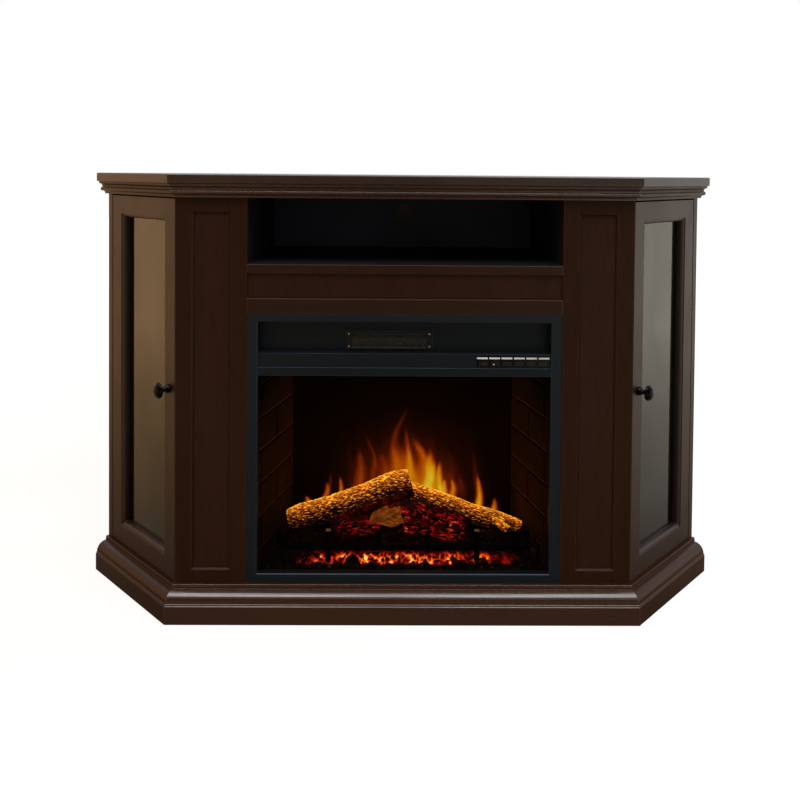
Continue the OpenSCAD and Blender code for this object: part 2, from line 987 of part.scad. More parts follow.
// One folded sheet: the lip over the window, the control bar and the floor of the vent recess
module control_bar() {
    t = sheet_back;
    lip = trim_y + lip_set;
    bar = trim_y + bar_set;
    edge = panel_edge - 0.3;
    color("#3a3e41")
        difference() {
            rotate([90, 0, 90])
                linear_extrude(2 * view_half, center = true)
                    polygon([[lip, window_top], [lip, bar_z], [bar, bar_z], [bar, bar_top],
                        [vent_y, bar_top], [vent_y, bar_top - t], [bar + t, bar_top - t],
                        [bar + t, bar_z - t], [lip + t, bar_z - t], [lip + t, window_top + t],
                        [case_y - 1, window_top + t], [case_y - 1, window_top]]);
            box(panel_x - panel_w / 2 + edge, panel_x + panel_w / 2 - edge, bar - 1, bar + t + 1,
                panel_z - panel_h / 2 + edge, panel_z + panel_h / 2 - edge);
        }
}

function button_x(i) = panel_x + (i - (button_count + 1) / 2) * button_pitch;

module control_panel() {
    y0 = trim_y + bar_set;
    c = button_fit;
    color("#24272a")
        difference() {
            union() {
                box(panel_x - panel_w / 2, panel_x + panel_w / 2, y0 - panel_proud, y0,
                    panel_z - panel_h / 2, panel_z + panel_h / 2);
                box(panel_x - panel_w / 2 + panel_edge, panel_x + panel_w / 2 - panel_edge,
                    y0 - 0.1, y0 + panel_body, panel_z - panel_h / 2 + panel_edge,
                    panel_z + panel_h / 2 - panel_edge);
            }
            for (i = [1:button_count]) {
                box(button_x(i) - button_w / 2 - c, button_x(i) + button_w / 2 + c, y0 - 5,
                    y0 + panel_body + 1, panel_z - button_drop - button_h / 2 - c,
                    panel_z - button_drop + button_h / 2 + c);
                translate([button_x(i), y0 - 5, panel_z + led_up])
                    rotate([-90, 0, 0])
                        cylinder(h = panel_body + 6, r = led_r + 0.1);
            }
        }
}

module button(i) {
    z = panel_z - button_drop;
    y1 = flange_y + button_flange;
    color("#33373a")
        translate([button_x(i), 0, z]) {
            box(-button_w / 2, button_w / 2, button_face, flange_y, -button_h / 2, button_h / 2);
            box(-button_w / 2 - 1, button_w / 2 + 1, flange_y, y1, -button_h / 2 - 1,
                button_h / 2 + 1);
            translate([0, flange_y, 0])
                rotate([-90, 0, 0])
                    cylinder(h = button_flange + nub_h, r = nub_h);
        }
}

module circuit_board() {
    switch_y = flange_y + button_flange + nub_h + button_travel + button_fit;
    lip_back = trim_y + lip_set + sheet_back;
    low = window_top + lip_h / 4;
    x0 = panel_x - panel_w / 2 - pcb_edge;
    x1 = panel_x + panel_w / 2;
    mid = pcb_y + pcb_t / 2;
    post_z = window_top + lip_h / 2;
    color("#1f5a3a") {
        box(x0, x1, pcb_y, pcb_y + pcb_t, low, bar_top - sheet_back - 1);
        for (i = [1:button_count]) {
            box(button_x(i) - switch_w / 2, button_x(i) + switch_w / 2, switch_y, mid,
                panel_z - button_drop - switch_w / 2, panel_z - button_drop + switch_w / 2);
            translate([button_x(i), trim_y + bar_set - panel_proud, panel_z + led_up])
                rotate([-90, 0, 0])
                    cylinder(h = mid - trim_y - bar_set + panel_proud, r = led_r);
        }
        for (x = [x0 + 4 * post_r, x1 - 4 * post_r])
            translate([x, lip_back, post_z])
                rotate([-90, 0, 0]) {
                    cylinder(h = mid - lip_back, r = post_r);
                    cylinder(h = pcb_y + pcb_t + 1 - lip_back, r = post_r * 0.6);
                }
        box(x0 + chip_w, x0 + 2 * chip_w, mid, pcb_y + pcb_t + chip_t, post_z, post_z + chip_w / 2);
        translate([x0 + 3.5 * chip_w, mid, post_z + chip_w / 2])
            rotate([-90, 0, 0])
                cylinder(h = pcb_t / 2 + chip_t, r = chip_w / 4);
    }
}

module vent_panel() {
    slot_x = grille_w / 2 - duct_in;
    slot_z = grille_h / 2 - duct_in;
    color("#3a3e41")
        difference() {
            box(-case_half + sheet_t, case_half - sheet_t, vent_y, vent_y + sheet_t,
                bar_top - sheet_back, case_top - sheet_t);
            box(grille_x - slot_x, grille_x + slot_x, vent_y - 1, vent_y + sheet_t + 1,
                grille_z - slot_z, grille_z + slot_z);
        }
}

// Pressed grille: rows of staggered holes, a long slot over a folded rail, and four screws
module outlet_grille() {
    rows = 3;
    step = 4.4;
    cols = floor((grille_w - 34) / step);
    slot_l = grille_w - 32;
    color("#45494c") {
        difference() {
            union() {
                box(grille_x - grille_w / 2, grille_x + grille_w / 2, vent_y - plate_t, vent_y,
                    grille_z - grille_h / 2, grille_z + grille_h / 2);
                for (z = [-16, 5.5])
                    box(grille_x - slot_l / 2 - 4, grille_x + slot_l / 2 + 4, vent_y - plate_t - 2,
                        vent_y - plate_t + 0.5, grille_z + z, grille_z + z + 2);
            }
            for (r = [0:rows - 1], c = [0:cols - 1])
                translate([grille_x + (c - (cols - 1) / 2 + (r % 2 - 0.5) / 2) * step,
                    vent_y - plate_t - 1, grille_z - 9.5 + r * step])
                    rotate([-90, 0, 0])
                        cylinder(h = plate_t + 2, r = grille_hole_r, $fn = 16);
            box(grille_x - slot_l / 2, grille_x + slot_l / 2, vent_y - plate_t - 1, vent_y + 1,
                grille_z + 9, grille_z + 12);
        }
        for (x = [-1, 1], z = [-1, 1])
            translate([grille_x + x * (grille_w / 2 - 6), vent_y - plate_t, grille_z + z * 12])
                rotate([90, 0, 0])
                    cylinder(h = 1.2, r = 2.2);
    }
}

module window_glass() {
    color("#2b2f33", 0.3)
        box(-view_half - 5, view_half + 5, glass_y, fire_y, window_z - 5, window_top + 2);
}

// Folded wrap, open at the front and back, with the shelf that closes the firebox
module insert_case() {
    color("#2c2e30") {
        difference() {
            box(-case_half, case_half, case_y, case_back, case_z, case_top);
            box(-case_half + sheet_t, case_half - sheet_t, case_y - 1, case_back + 1, case_floor,
                case_top - sheet_t);
        }
        box(-case_half + sheet_t, case_half - sheet_t, fire_y + 3, case_back, ceiling_z,
            ceiling_z + sheet_t);
    }
}

gland_side = 50;
gland_up = 26;

module insert_back_cover() {
    y0 = case_back;
    gland_x = -case_half + gland_side;
    gland_z = base_z + stretcher_h + gland_up;
    slot_l = 60;
    color("#232527") {
        difference() {
            union() {
                box(-case_half, case_half, y0, y0 + sheet_t, case_z, case_top);
                translate([gland_x, y0 + sheet_t - 0.1, gland_z])
                    rotate([-90, 0, 0])
                        cylinder(h = 5, r = 9);
            }
            for (x = [-1, 0, 1], r = [0:5])
                box(x * 130 - slot_l / 2, x * 130 + slot_l / 2, y0 - 1, y0 + sheet_t + 1,
                    case_top - 40 - r * 9, case_top - 37 - r * 9);
            translate([gland_x, y0 - 1, gland_z])
                rotate([-90, 0, 0])
                    cylinder(h = sheet_t + 8, r = 4.2);
        }
        for (x = [-1, 1], z = [case_z + 16, (case_z + case_top) / 2, case_top - 16])
            translate([x * (case_half - 10), y0 + sheet_t, z])
                rotate([-90, 0, 0])
                    cylinder(h = 2, r = 3.5);
    }
}

// Side linings with courses of brick, slanting in towards the flame screen
module brick_panel() {
    y0 = fire_y + 1;
    y1 = screen_y - 0.5;
    x0 = view_half + 1;
    run = sqrt(pow(y1 - y0, 2) + pow(brick_slant, 2));
    turn = atan(brick_slant / (y1 - y0));
    h = ceiling_z - case_floor;
    groove = 2;
    courses = floor((h - 45) / brick_h);
    translate([x0, y0, case_floor])
        rotate([0, 0, turn])
            difference() {
                box(0, brick_t, 0, run - brick_t * tan(turn), 0, h);
                for (k = [0:courses])
                    box(-1, groove, 0, run + 5, 44 + k * brick_h, 44 + k * brick_h + mortar_w);
                for (k = [0:courses]) {
                    z = 44 + (k - 1) * brick_h;
                    mid = run * (k % 2 == 0 ? 0.5 : 0.08);
                    box(-1, groove, mid, mid + mortar_w, z, z + brick_h);
                }
            }
}

module brick_panels() {
    color("#5a4231")
        both_sides()
            brick_panel();
}

module flame_screen() {
    x = view_half - brick_slant + brick_t + 6;
    color("#2e211c") {
        box(-x, x, screen_y, screen_y + screen_t, case_floor, ceiling_z);
        both_sides()
            box(x, case_half - sheet_t, screen_y, screen_y + sheet_t, case_floor, ceiling_z);
    }
}

// Rolling surface of the embers, low at the window and higher under the logs
bed_nx = 30;
bed_ny = 12;
bed_y0 = fire_y + 3;
bed_y1 = screen_y - 1;
bed_foot = view_half - 81;
function bed_half(y) = view_half - 2 - brick_slant * (y - fire_y) / firebox_d;
function bed_lump(x, y) = 1.7 * sin(x * 5.3 + y * 3.1) * cos(y * 7.7 - x * 2.2)
    + 1.1 * sin(x * 13 - y * 9);
function bed_rise(y) = let (t = min(1, max(0, (y - bed_y0) / 55))) t * t * (3 - 2 * t);
function bed_top(x, y) = bed_z + 8 + 17 * bed_rise(y) + bed_lump(x, y);
function bed_pt(i, j, z) = let (y = bed_y0 + (bed_y1 - bed_y0) * j / bed_ny,
    x = bed_half(y) * (2 * i / bed_nx - 1)) [x, y, z == 0 ? bed_z : bed_top(x, y)];
function bed_id(i, j, layer) = layer * (bed_nx + 1) * (bed_ny + 1) + j * (bed_nx + 1) + i;
bed_points = [for (layer = [0, 1], j = [0:bed_ny], i = [0:bed_nx]) bed_pt(i, j, layer)];
bed_faces = concat(
    [for (j = [0:bed_ny - 1], i = [0:bed_nx - 1], k = [0, 1])
        k == 0 ? [bed_id(i, j, 1), bed_id(i + 1, j + 1, 1), bed_id(i + 1, j, 1)]
            : [bed_id(i, j, 1), bed_id(i, j + 1, 1), bed_id(i + 1, j + 1, 1)]],
    [for (j = [0:bed_ny - 1], i = [0:bed_nx - 1], k = [0, 1])
        k == 0 ? [bed_id(i, j, 0), bed_id(i + 1, j, 0), bed_id(i + 1, j + 1, 0)]
            : [bed_id(i, j, 0), bed_id(i + 1, j + 1, 0), bed_id(i, j + 1, 0)]],
    [for (i = [0:bed_nx - 1], k = [0, 1])
        k == 0 ? [bed_id(i, 0, 0), bed_id(i, 0, 1), bed_id(i + 1, 0, 1)]
            : [bed_id(i, 0, 0), bed_id(i + 1, 0, 1), bed_id(i + 1, 0, 0)]],
    [for (i = [0:bed_nx - 1], k = [0, 1])
        k == 0 ? [bed_id(i, bed_ny, 0), bed_id(i + 1, bed_ny, 1), bed_id(i, bed_ny, 1)]
            : [bed_id(i, bed_ny, 0), bed_id(i + 1, bed_ny, 0), bed_id(i + 1, bed_ny, 1)]],
    [for (j = [0:bed_ny - 1], k = [0, 1])
        k == 0 ? [bed_id(0, j, 0), bed_id(0, j + 1, 1), bed_id(0, j, 1)]
            : [bed_id(0, j, 0), bed_id(0, j + 1, 0), bed_id(0, j + 1, 1)]],
    [for (j = [0:bed_ny - 1], k = [0, 1])
        k == 0 ? [bed_id(bed_nx, j, 0), bed_id(bed_nx, j, 1), bed_id(bed_nx, j + 1, 1)]
            : [bed_id(bed_nx, j, 0), bed_id(bed_nx, j + 1, 1), bed_id(bed_nx, j + 1, 0)]]);

grate_w = 2 * (view_half - grate_side);
grate_taper = brick_slant * grate_d / firebox_d;
function upright_x(i) = (i / (upright_count - 1) - 0.5) * (grate_w - grate_bar);
leg_x = upright_x(1);
leg_y = [grate_y, grate_y + grate_d - grate_bar];

module grate_legs(grow) {
    for (x = [leg_x, -leg_x], y = leg_y)
        box(x - grate_bar / 2 - grow, x + grate_bar / 2 + grow, y - grow, y + grate_bar + grow,
            case_floor - grow, grate_top - 1);
}

module ember_bed() {
    color("#3a1a10")
        difference() {
            union() {
                polyhedron(points = bed_points, faces = bed_faces, convexity = 6);
                for (x = [-1, 1], y = [bed_y0 + 4, bed_y1 - 12])
                    box(x * bed_foot - 12, x * bed_foot + 12, y, y + 8, case_floor, bed_z + 2);
            }
            grate_legs(0.4);
        }
}

module grate() {
    y1 = grate_y + grate_d;
    z0 = grate_top - grate_bar;
    half = [grate_w / 2, grate_w / 2 - grate_taper];
    color("#1a1a1b")
        union() {
            box(-half[0], half[0], grate_y, grate_y + grate_bar, z0, grate_top);
            box(-half[1], half[1], y1 - grate_bar, y1, z0, grate_top);
            for (i = [1:upright_count - 2])
                box(upright_x(i) - grate_bar / 2, upright_x(i) + grate_bar / 2, grate_y, y1, z0,
                    grate_top);
            for (i = [0:upright_count - 1])
                box(upright_x(i) - grate_bar / 2, upright_x(i) + grate_bar / 2, grate_y,
                    grate_y + grate_bar, z0, grate_top + upright_h);
            both_sides()
                translate([0, 0, z0])
                    linear_extrude(grate_bar)
                        polygon([[half[0], grate_y], [half[1], y1], [half[1] - grate_bar, y1],
                            [half[0] - grate_bar, grate_y]]);
            grate_legs(0);
        }
}

// A log swept along hand-placed stations [x, y behind the window, z over the grate, radius]
log_n = 14;
log_drawn = 486;
function station(p) = [p[0] * grate_w / log_drawn, fire_y + p[1], grate_top + p[2]];
function unit(v) = v / norm(v);
function bark(a, k, seed) = 1 + 0.07 * sin(3 * a + seed * 40 + k * 25)
    + 0.04 * sin(5 * a - seed * 70 + k * 60);
function log_ring(path, k, grow, seed) =
    let (d = unit(station(path[len(path) - 1]) - station(path[0])),
        side = unit(cross(d, [0, 0, 1])), up = cross(side, d), c = station(path[k]))
    [for (i = [0:log_n - 1]) let (a = 360 * i / log_n, r = path[k][3] * bark(a, k, seed) + grow)
        c + side * r * cos(a) + up * r * sin(a)];

module log_shape(path, seed, grow = 0) {
    m = len(path);
    rings = [for (k = [0:m - 1]) log_ring(path, k, grow, seed)];
    ends = [station(path[0]) - unit(station(path[1]) - station(path[0])) * grow,
        station(path[m - 1]) + unit(station(path[m - 1]) - station(path[m - 2])) * grow];
    points = concat([for (r = rings) each r], ends);
    walls = [for (k = [0:m - 2], i = [0:log_n - 1], h = [0, 1]) let (j = (i + 1) % log_n,
        a = k * log_n) h == 0 ? [a + i, a + j, a + log_n + j] : [a + i, a + log_n + j, a + log_n + i]];
    caps = [for (i = [0:log_n - 1], h = [0, 1]) let (j = (i + 1) % log_n)
        h == 0 ? [m * log_n, j, i] : [m * log_n + 1, (m - 1) * log_n + i, (m - 1) * log_n + j]];
    polyhedron(points = points, faces = concat(walls, caps), convexity = 4);
}

left_path = [[-224, 78, 24, 20], [-205, 80, 28, 24], [-160, 84, 39, 25], [-110, 88, 53, 26],
    [-60, 92, 70, 26], [-20, 96, 87, 28], [4, 98, 95, 27], [13, 99, 98, 24]];
right_path = [[-4, 128, 70, 17], [14, 127, 66, 21], [60, 122, 48, 24], [100, 116, 34, 23],
    [140, 110, 22, 22], [185, 106, 14, 19], [222, 102, 6, 14], [238, 100, 3, 11]];
stub_path = [[182, 96, 15, 12], [202, 78, 10, 10], [210, 70, 8, 9]];
char_paths = [[[-140, 56, 18, 13], [-118, 58, 20, 17], [-78, 62, 22, 18], [-48, 65, 22, 16]],
    [[-38, 52, 46, 21], [-10, 57, 42, 23], [40, 68, 32, 22], [90, 78, 22, 19], [130, 84, 15, 14]],
    [[50, 42, 13, 12], [70, 44, 14, 14], [100, 48, 12, 12], [122, 50, 10, 9]]];

// Everything below the tops of the grate bars, which the logs are cut flat against
module under_grate() {
    box(-trim_w, trim_w, front_y, back_y, 0, log_floor);
}

module charred_log(k, grow = 0) {
    log_shape(char_paths[k], k + 3, grow);
}

module uprights(grow) {
    for (i = [0:upright_count - 1])
        box(upright_x(i) - grate_bar / 2 - grow, upright_x(i) + grate_bar / 2 + grow,
            grate_y - grow, grate_y + grate_bar + grow, grate_top - 1, grate_top + upright_h + grow);
}

module charred_logs() {
    color("#5a2418") {
        for (k = [0, 1])
            difference() {
                charred_log(k);
                under_grate();
                uprights(log_fit);
                if (k == 0)
                    charred_log(1, log_fit);
            }
        difference() {
            charred_log(2);
            under_grate();
            uprights(log_fit);
            charred_log(1, log_fit);
        }
    }
}

module left_log() {
    color("#9a7a3c")
        difference() {
            log_shape(left_path, 1);
            under_grate();
            charred_log(0, log_fit);
            charred_log(1, log_fit);
        }
}

module right_log() {
    color("#9a7a3c")
        difference() {
            union() {
                log_shape(right_path, 2);
                log_shape(stub_path, 5);
            }
            under_grate();
            log_shape(left_path, 1, log_fit);
            charred_log(1, log_fit);
        }
}

// Rod with bent reflectors that throws moving light on the back of the flame screen
module flame_spinner() {
    color("silver")
        translate([0, spinner_y, spinner_z])
            union() {
                rotate([0, 90, 0])
                    cylinder(h = 2 * spinner_half + 24, r = shaft_r, center = true);
                for (i = [0:petal_count - 1])
                    translate([((i + 0.5) / petal_count - 0.5) * 2 * (spinner_half - 6), 0, 0])
                        rotate([i * 65, 0, 0])
                            translate([-petal_w / 2, -0.5, -petal_h / 2])
                                cube([petal_w, 1, petal_h]);
            }
}

// Cross-flow wheel: end discs, a ring of blades and a shaft
module blower_wheel() {
    x0 = duct_x0 + 4;
    x1 = duct_x1 - 4;
    blade_l = x1 - x0;
    color("#3a3a3c")
        translate([x0, wheel_y, wheel_z])
            rotate([0, 90, 0])
                union() {
                    for (z = [0, blade_l / 2 - 1, blade_l - 2])
                        translate([0, 0, z])
                            cylinder(h = 2, r = wheel_r - 1);
                    for (i = [0:blade_count - 1])
                        rotate([0, 0, i * 360 / blade_count])
                            translate([wheel_r - 7, 0, 0])
                                rotate([0, 0, 25])
                                    translate([0, -0.5, 0])
                                        cube([6, 1, blade_l]);
                    translate([0, 0, -7.5])
                        cylinder(h = blade_l + 15, r = shaft_r);
                }
}

// Scroll housing with a duct to the grille, end plates that carry the shaft, and two feet
module blower_housing() {
    x0 = duct_x0;
    x1 = duct_x1;
    r = wheel_r + wheel_gap;
    duct_y = vent_y + sheet_t;
    z0 = grille_z - grille_h / 2 + duct_in;
    z1 = grille_z + grille_h / 2 - duct_in;
    t = sheet_t;
    color("#6d7072") {
        difference() {
            union() {
                translate([x0 - t, wheel_y, wheel_z])
                    rotate([0, 90, 0])
                        cylinder(h = x1 - x0 + 2 * t, r = r + t);
                box(x0 - t, x1 + t, duct_y, wheel_y, z0 - t, z1 + t);
            }
            translate([x0, wheel_y, wheel_z])
                rotate([0, 90, 0])
                    cylinder(h = x1 - x0, r = r);
            box(x0, x1, duct_y - 1, wheel_y, z0, z1);
            box(x0, x1, wheel_y + 4, wheel_y + r + 10, wheel_z + 2, wheel_z + r + 10);
            translate([x0 - 10, wheel_y, wheel_z])
                rotate([0, 90, 0])
                    cylinder(h = x1 - x0 + 20, r = shaft_r + shaft_fit);
        }
        for (x = [x0 + 10, x1 - 22])
            difference() {
                box(x, x + 12, wheel_y - 12, wheel_y + 12, ceiling_z + sheet_t, wheel_z - 10);
                translate([x - 1, wheel_y, wheel_z])
                    rotate([0, 90, 0])
                        cylinder(h = 14, r = r + t);
            }
    }
}

module heating_element() {
    z0 = grille_z - grille_h / 2 + duct_in;
    z1 = grille_z + grille_h / 2 - duct_in;
    y0 = vent_y + sheet_t + 6;
    fin = 8;
    fins = floor((duct_x1 - duct_x0 - 6) / fin);
    color("#8a7f74")
        union() {
            for (z = [z0, z1 - 3])
                box(duct_x0, duct_x1, y0, y0 + 14, z, z + 3);
            for (i = [0:fins])
                box(duct_x0 + 3 + i * fin, duct_x0 + 4 + i * fin, y0 + 1, y0 + 13, z0 + 2, z1 - 2);
        }
}

// The fan motor, the spinner motor and the posts that carry the spinner's shaft
module motors_and_brackets() {
    fan_x = duct_x1 + sheet_t;
    post_x = spinner_half + 3;
    post_t = 6;
    bore = shaft_r + shaft_fit;
    color("#9a9c9e") {
        difference() {
            translate([fan_x, wheel_y, wheel_z])
                rotate([0, 90, 0])
                    cylinder(h = 34, r = motor_r);
            translate([fan_x - 1, wheel_y, wheel_z])
                rotate([0, 90, 0])
                    cylinder(h = 9, r = bore);
        }
        for (k = [-1, 1])
            difference() {
                box(k * post_x - post_t / 2, k * post_x + post_t / 2, spinner_y - 9, spinner_y + 9,
                    case_floor, spinner_z + 9);
                translate([k * post_x - post_t, spinner_y, spinner_z])
                    rotate([0, 90, 0])
                        cylinder(h = 2 * post_t, r = bore);
            }
        difference() {
            translate([post_x + post_t / 2, spinner_y, spinner_z])
                rotate([0, 90, 0])
                    cylinder(h = 26, r = 15);
            translate([post_x, spinner_y, spinner_z])
                rotate([0, 90, 0])
                    cylinder(h = 12, r = bore);
        }
    }
}

module led_strips() {
    count = 20;
    half = spinner_half - 4;
    rows = [grate_y + grate_d / 2, spinner_y];
    color("#e8e6da")
        for (y = rows) {
            box(-half, half, y - 5, y + 5, case_floor, case_floor + strip_h);
            for (i = [0:count - 1])
                translate([(i / (count - 1) - 0.5) * 2 * (half - 6), y, case_floor + strip_h])
                    box(-2.5, 2.5, -2.5, 2.5, 0, 1.2);
        }
}

top_panel();
sub_top();
crown_front();
crown_sides();
plinth_front();
plinth_sides();
base_panel();
base_rails();
floor_glides();
left_pilaster();
right_pilaster();
inset_panels();
header_frame();
media_shelf();
dividers();
left_side_panel();
right_side_panel();
side_back_panels();
centre_back_panel();
back_stretchers();
side_shelves();
shelf_pins();
hinge_arms();
door_catches();
left_door_frame();
left_door_glass();
left_knob();
left_hinge_cups();
right_door_frame();
right_door_glass();
right_knob();
right_hinge_cups();
insert_trim();
control_bar();
control_panel();
button(1);  // button_1
button(2);  // button_2
button(3);  // button_3
button(4);  // button_4
button(5);  // button_5
button(6);  // button_6
vent_panel();
outlet_grille();
window_glass();
insert_case();
insert_back_cover();
brick_panels();
flame_screen();
ember_bed();
grate();
left_log();
right_log();
charred_logs();
flame_spinner();
blower_wheel();
blower_housing();
heating_element();
motors_and_brackets();
circuit_board();
led_strips();
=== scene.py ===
import math

import bmesh
import bpy
import numpy as np
from mathutils import Matrix, Vector, noise

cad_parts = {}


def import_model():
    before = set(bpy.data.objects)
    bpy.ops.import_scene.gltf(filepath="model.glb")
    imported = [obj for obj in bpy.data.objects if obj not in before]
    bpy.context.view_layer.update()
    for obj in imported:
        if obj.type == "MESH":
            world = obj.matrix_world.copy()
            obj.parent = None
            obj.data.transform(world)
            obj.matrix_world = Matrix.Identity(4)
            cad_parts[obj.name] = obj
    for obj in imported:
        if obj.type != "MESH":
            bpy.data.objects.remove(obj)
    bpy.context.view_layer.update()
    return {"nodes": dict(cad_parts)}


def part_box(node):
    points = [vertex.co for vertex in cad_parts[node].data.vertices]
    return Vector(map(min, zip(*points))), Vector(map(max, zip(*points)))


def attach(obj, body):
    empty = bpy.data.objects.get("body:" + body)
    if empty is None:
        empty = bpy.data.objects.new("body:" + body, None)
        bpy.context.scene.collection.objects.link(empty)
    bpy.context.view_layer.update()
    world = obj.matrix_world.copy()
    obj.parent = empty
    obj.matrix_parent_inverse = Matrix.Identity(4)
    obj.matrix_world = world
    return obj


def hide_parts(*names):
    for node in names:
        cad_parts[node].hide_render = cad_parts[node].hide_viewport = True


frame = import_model()
noise.seed_set(5)      # noise_vector would otherwise start from the clock
nodes = frame["nodes"]
MM = 0.001
scene = bpy.context.scene
scene.view_settings.view_transform = "Standard"
S45 = math.sqrt(0.5)


# ---------------------------------------------------------------- camera
CAMERA_AT = Vector((-0.02668, -1.58994, 0.82606))
CAMERA_TURN = (1.289, 0.618, 0.483)      # down, to the right and rolled, in degrees
SENSOR, LENS, SHIFT_UP = 36, 35.026, -0.263


def aim_camera():
    """A nearly level view from the front, with the lens shifted."""
    pitch, yaw, roll = (math.radians(a) for a in CAMERA_TURN)
    forward = Vector((math.sin(yaw) * math.cos(pitch), math.cos(yaw) * math.cos(pitch), -math.sin(pitch)))
    right = Vector((math.cos(yaw), -math.sin(yaw), 0))
    up = right.cross(forward)
    r = right * math.cos(roll) + up * math.sin(roll)
    u = up * math.cos(roll) - right * math.sin(roll)
    cam = bpy.data.objects.new("camera", bpy.data.cameras.new("camera"))
    scene.collection.objects.link(cam)
    m = Matrix((r, u, -forward)).transposed().to_4x4()
    m.translation = CAMERA_AT
    cam.matrix_world = m
    cam.data.sensor_width, cam.data.lens, cam.data.shift_y = SENSOR, LENS, SHIFT_UP
    cam.data.clip_start = 0.05
    scene.camera = cam


aim_camera()


# ---------------------------------------------------------------- node helpers
def lin(r, g, b):
    """A colour written as it shows on a screen, 0 to 255."""
    return tuple(c / 255 / 12.92 if c <= 10.3 else ((c / 255 + 0.055) / 1.055) ** 2.4
                 for c in (r, g, b)) + (1.0,)


def times(tone, k):
    """A screen colour made lighter or darker by one factor."""
    return lin(*(min(255, c * k) for c in tone))


class Graph:
    """The nodes of one material, with short names for what is used most."""

    def __init__(self, name):
        self.mat = bpy.data.materials.new(name)
        self.mat.use_nodes = True
        self.nt = self.mat.node_tree
        self.nt.nodes.clear()
        self.out = self.nt.nodes.new("ShaderNodeOutputMaterial")
        self._obj = None

    def add(self, kind, inputs=None, **attrs):
        n = self.nt.nodes.new("ShaderNode" + kind)
        for k, v in attrs.items():
            setattr(n, k, v)
        for k, v in (inputs or {}).items():
            if isinstance(v, bpy.types.NodeSocket):
                self.nt.links.new(v, n.inputs[k])
            else:
                n.inputs[k].default_value = v
        return n

    def obj(self):
        if self._obj is None:
            self._obj = self.add("TexCoord").outputs["Object"]
        return self._obj

    def math(self, op, a, b=0.0, clamp=False):
        return self.add("Math", {0: a, 1: b}, operation=op, use_clamp=clamp).outputs[0]

    def xyz(self, v):
        return self.add("SeparateXYZ", {0: v}).outputs

    def mul(self, a, b, clamp=False):
        return self.math("MULTIPLY", a, b, clamp)

    def plus(self, a, b, clamp=False):
        return self.math("ADD", a, b, clamp)

    def minus(self, a, b):
        return self.math("SUBTRACT", a, b)

    def most(self, a, b):
        return self.math("MAXIMUM", a, b)

    def more(self, a, b):
        return self.math("GREATER_THAN", a, b)

    def less(self, a, b):
        return self.math("LESS_THAN", a, b)

    def mag(self, a):
        return self.math("ABSOLUTE", a)

    def normal(self):
        return self.add("NewGeometry").outputs["Normal"]

    def blend(self, fac, a, b):
        """Between two numbers, where mix is between two colours."""
        return self.add("Mix", {0: fac, 2: a, 3: b}, data_type="FLOAT").outputs[0]

    def scaled(self, scale, turn=0.0):
        v = self.obj()
        if turn:
            v = self.add("VectorRotate", {"Vector": v, "Angle": turn}, rotation_type="Z_AXIS").outputs[0]
        return self.add("Mapping", {"Vector": v, "Scale": scale}).outputs[0]

    def noise(self, v, scale=1.0, detail=3.0, rough=0.5, distort=0.0):
        return self.add("TexNoise", {"Vector": v, "Scale": scale, "Detail": detail, "Roughness": rough,
                                     "Distortion": distort}).outputs["Fac"]

    def cells(self, v, out="Distance"):
        return self.add("TexVoronoi", {"Vector": v, "Scale": 1.0}).outputs[out]

    def ramp(self, fac, stops):
        n = self.add("ValToRGB", {0: fac})
        e = n.color_ramp.elements
        e[0].position, e[0].color = stops[0]
        e[1].position, e[1].color = stops[-1]
        for p, c in stops[1:-1]:
            e.new(p).color = c
        return n.outputs[0]

    def mix(self, fac, a, b, how="MIX"):
        n = self.add("Mix", data_type="RGBA", blend_type=how)
        for k, v in ((0, fac), (6, a), (7, b)):
            if isinstance(v, bpy.types.NodeSocket):
                self.nt.links.new(v, n.inputs[k])
            else:
                n.inputs[k].default_value = v
        return n.outputs[2]

    def span(self, v, lo, hi, to_lo=0.0, to_hi=1.0):
        return self.add("MapRange", {"Value": v, "From Min": lo, "From Max": hi, "To Min": to_lo,
                                     "To Max": to_hi}).outputs[0]

    def bevel(self, radius):
        return self.add("Bevel", {"Radius": radius}, samples=4).outputs[0]

    def edges(self, radius, sharp=0.8):
        """1 along the edges of a shape, 0 on its faces."""
        turn = self.add("VectorMath", {0: self.normal(), 1: self.bevel(radius)},
                        operation="DOT_PRODUCT").outputs["Value"]
        return self.span(turn, 0.985, sharp)

    def bump(self, height, strength, dist, normal=None):
        ins = {"Height": height, "Strength": strength, "Distance": dist}
        if normal is not None:
            ins["Normal"] = normal
        return self.add("Bump", ins).outputs[0]

    def surface(self, shader):
        self.nt.links.new(shader, self.out.inputs["Surface"])
        return self.mat

    def principled(self, **ins):
        return self.add("BsdfPrincipled", {k.replace("_", " "): v for k, v in ins.items()}).outputs[0]


WHITE = (1, 1, 1, 1)
GREY = lambda v: (v, v, v, 1)


# ---------------------------------------------------------------- materials
TURN = {"l": math.radians(45), "r": math.radians(-45)}      # grain along the canted sides


def grain(g, way):
    """Streak, pore and figure values of a stained board. Its grain runs along z, x or a canted side."""
    def run(across, along):
        scale = (across, across, along) if way == "z" else (along, across, across)
        return g.scaled(scale, TURN.get(way, 0.0))
    fine, pore, slow = run(130, 5), run(620, 28), run(13, 0.9)
    streak = g.noise(fine, 1, 4, 0.62)
    pores = g.noise(pore, 1, 2, 0.5)
    figure = g.noise(slow, 1, 3, 0.5, 0.6)
    return streak, pores, figure


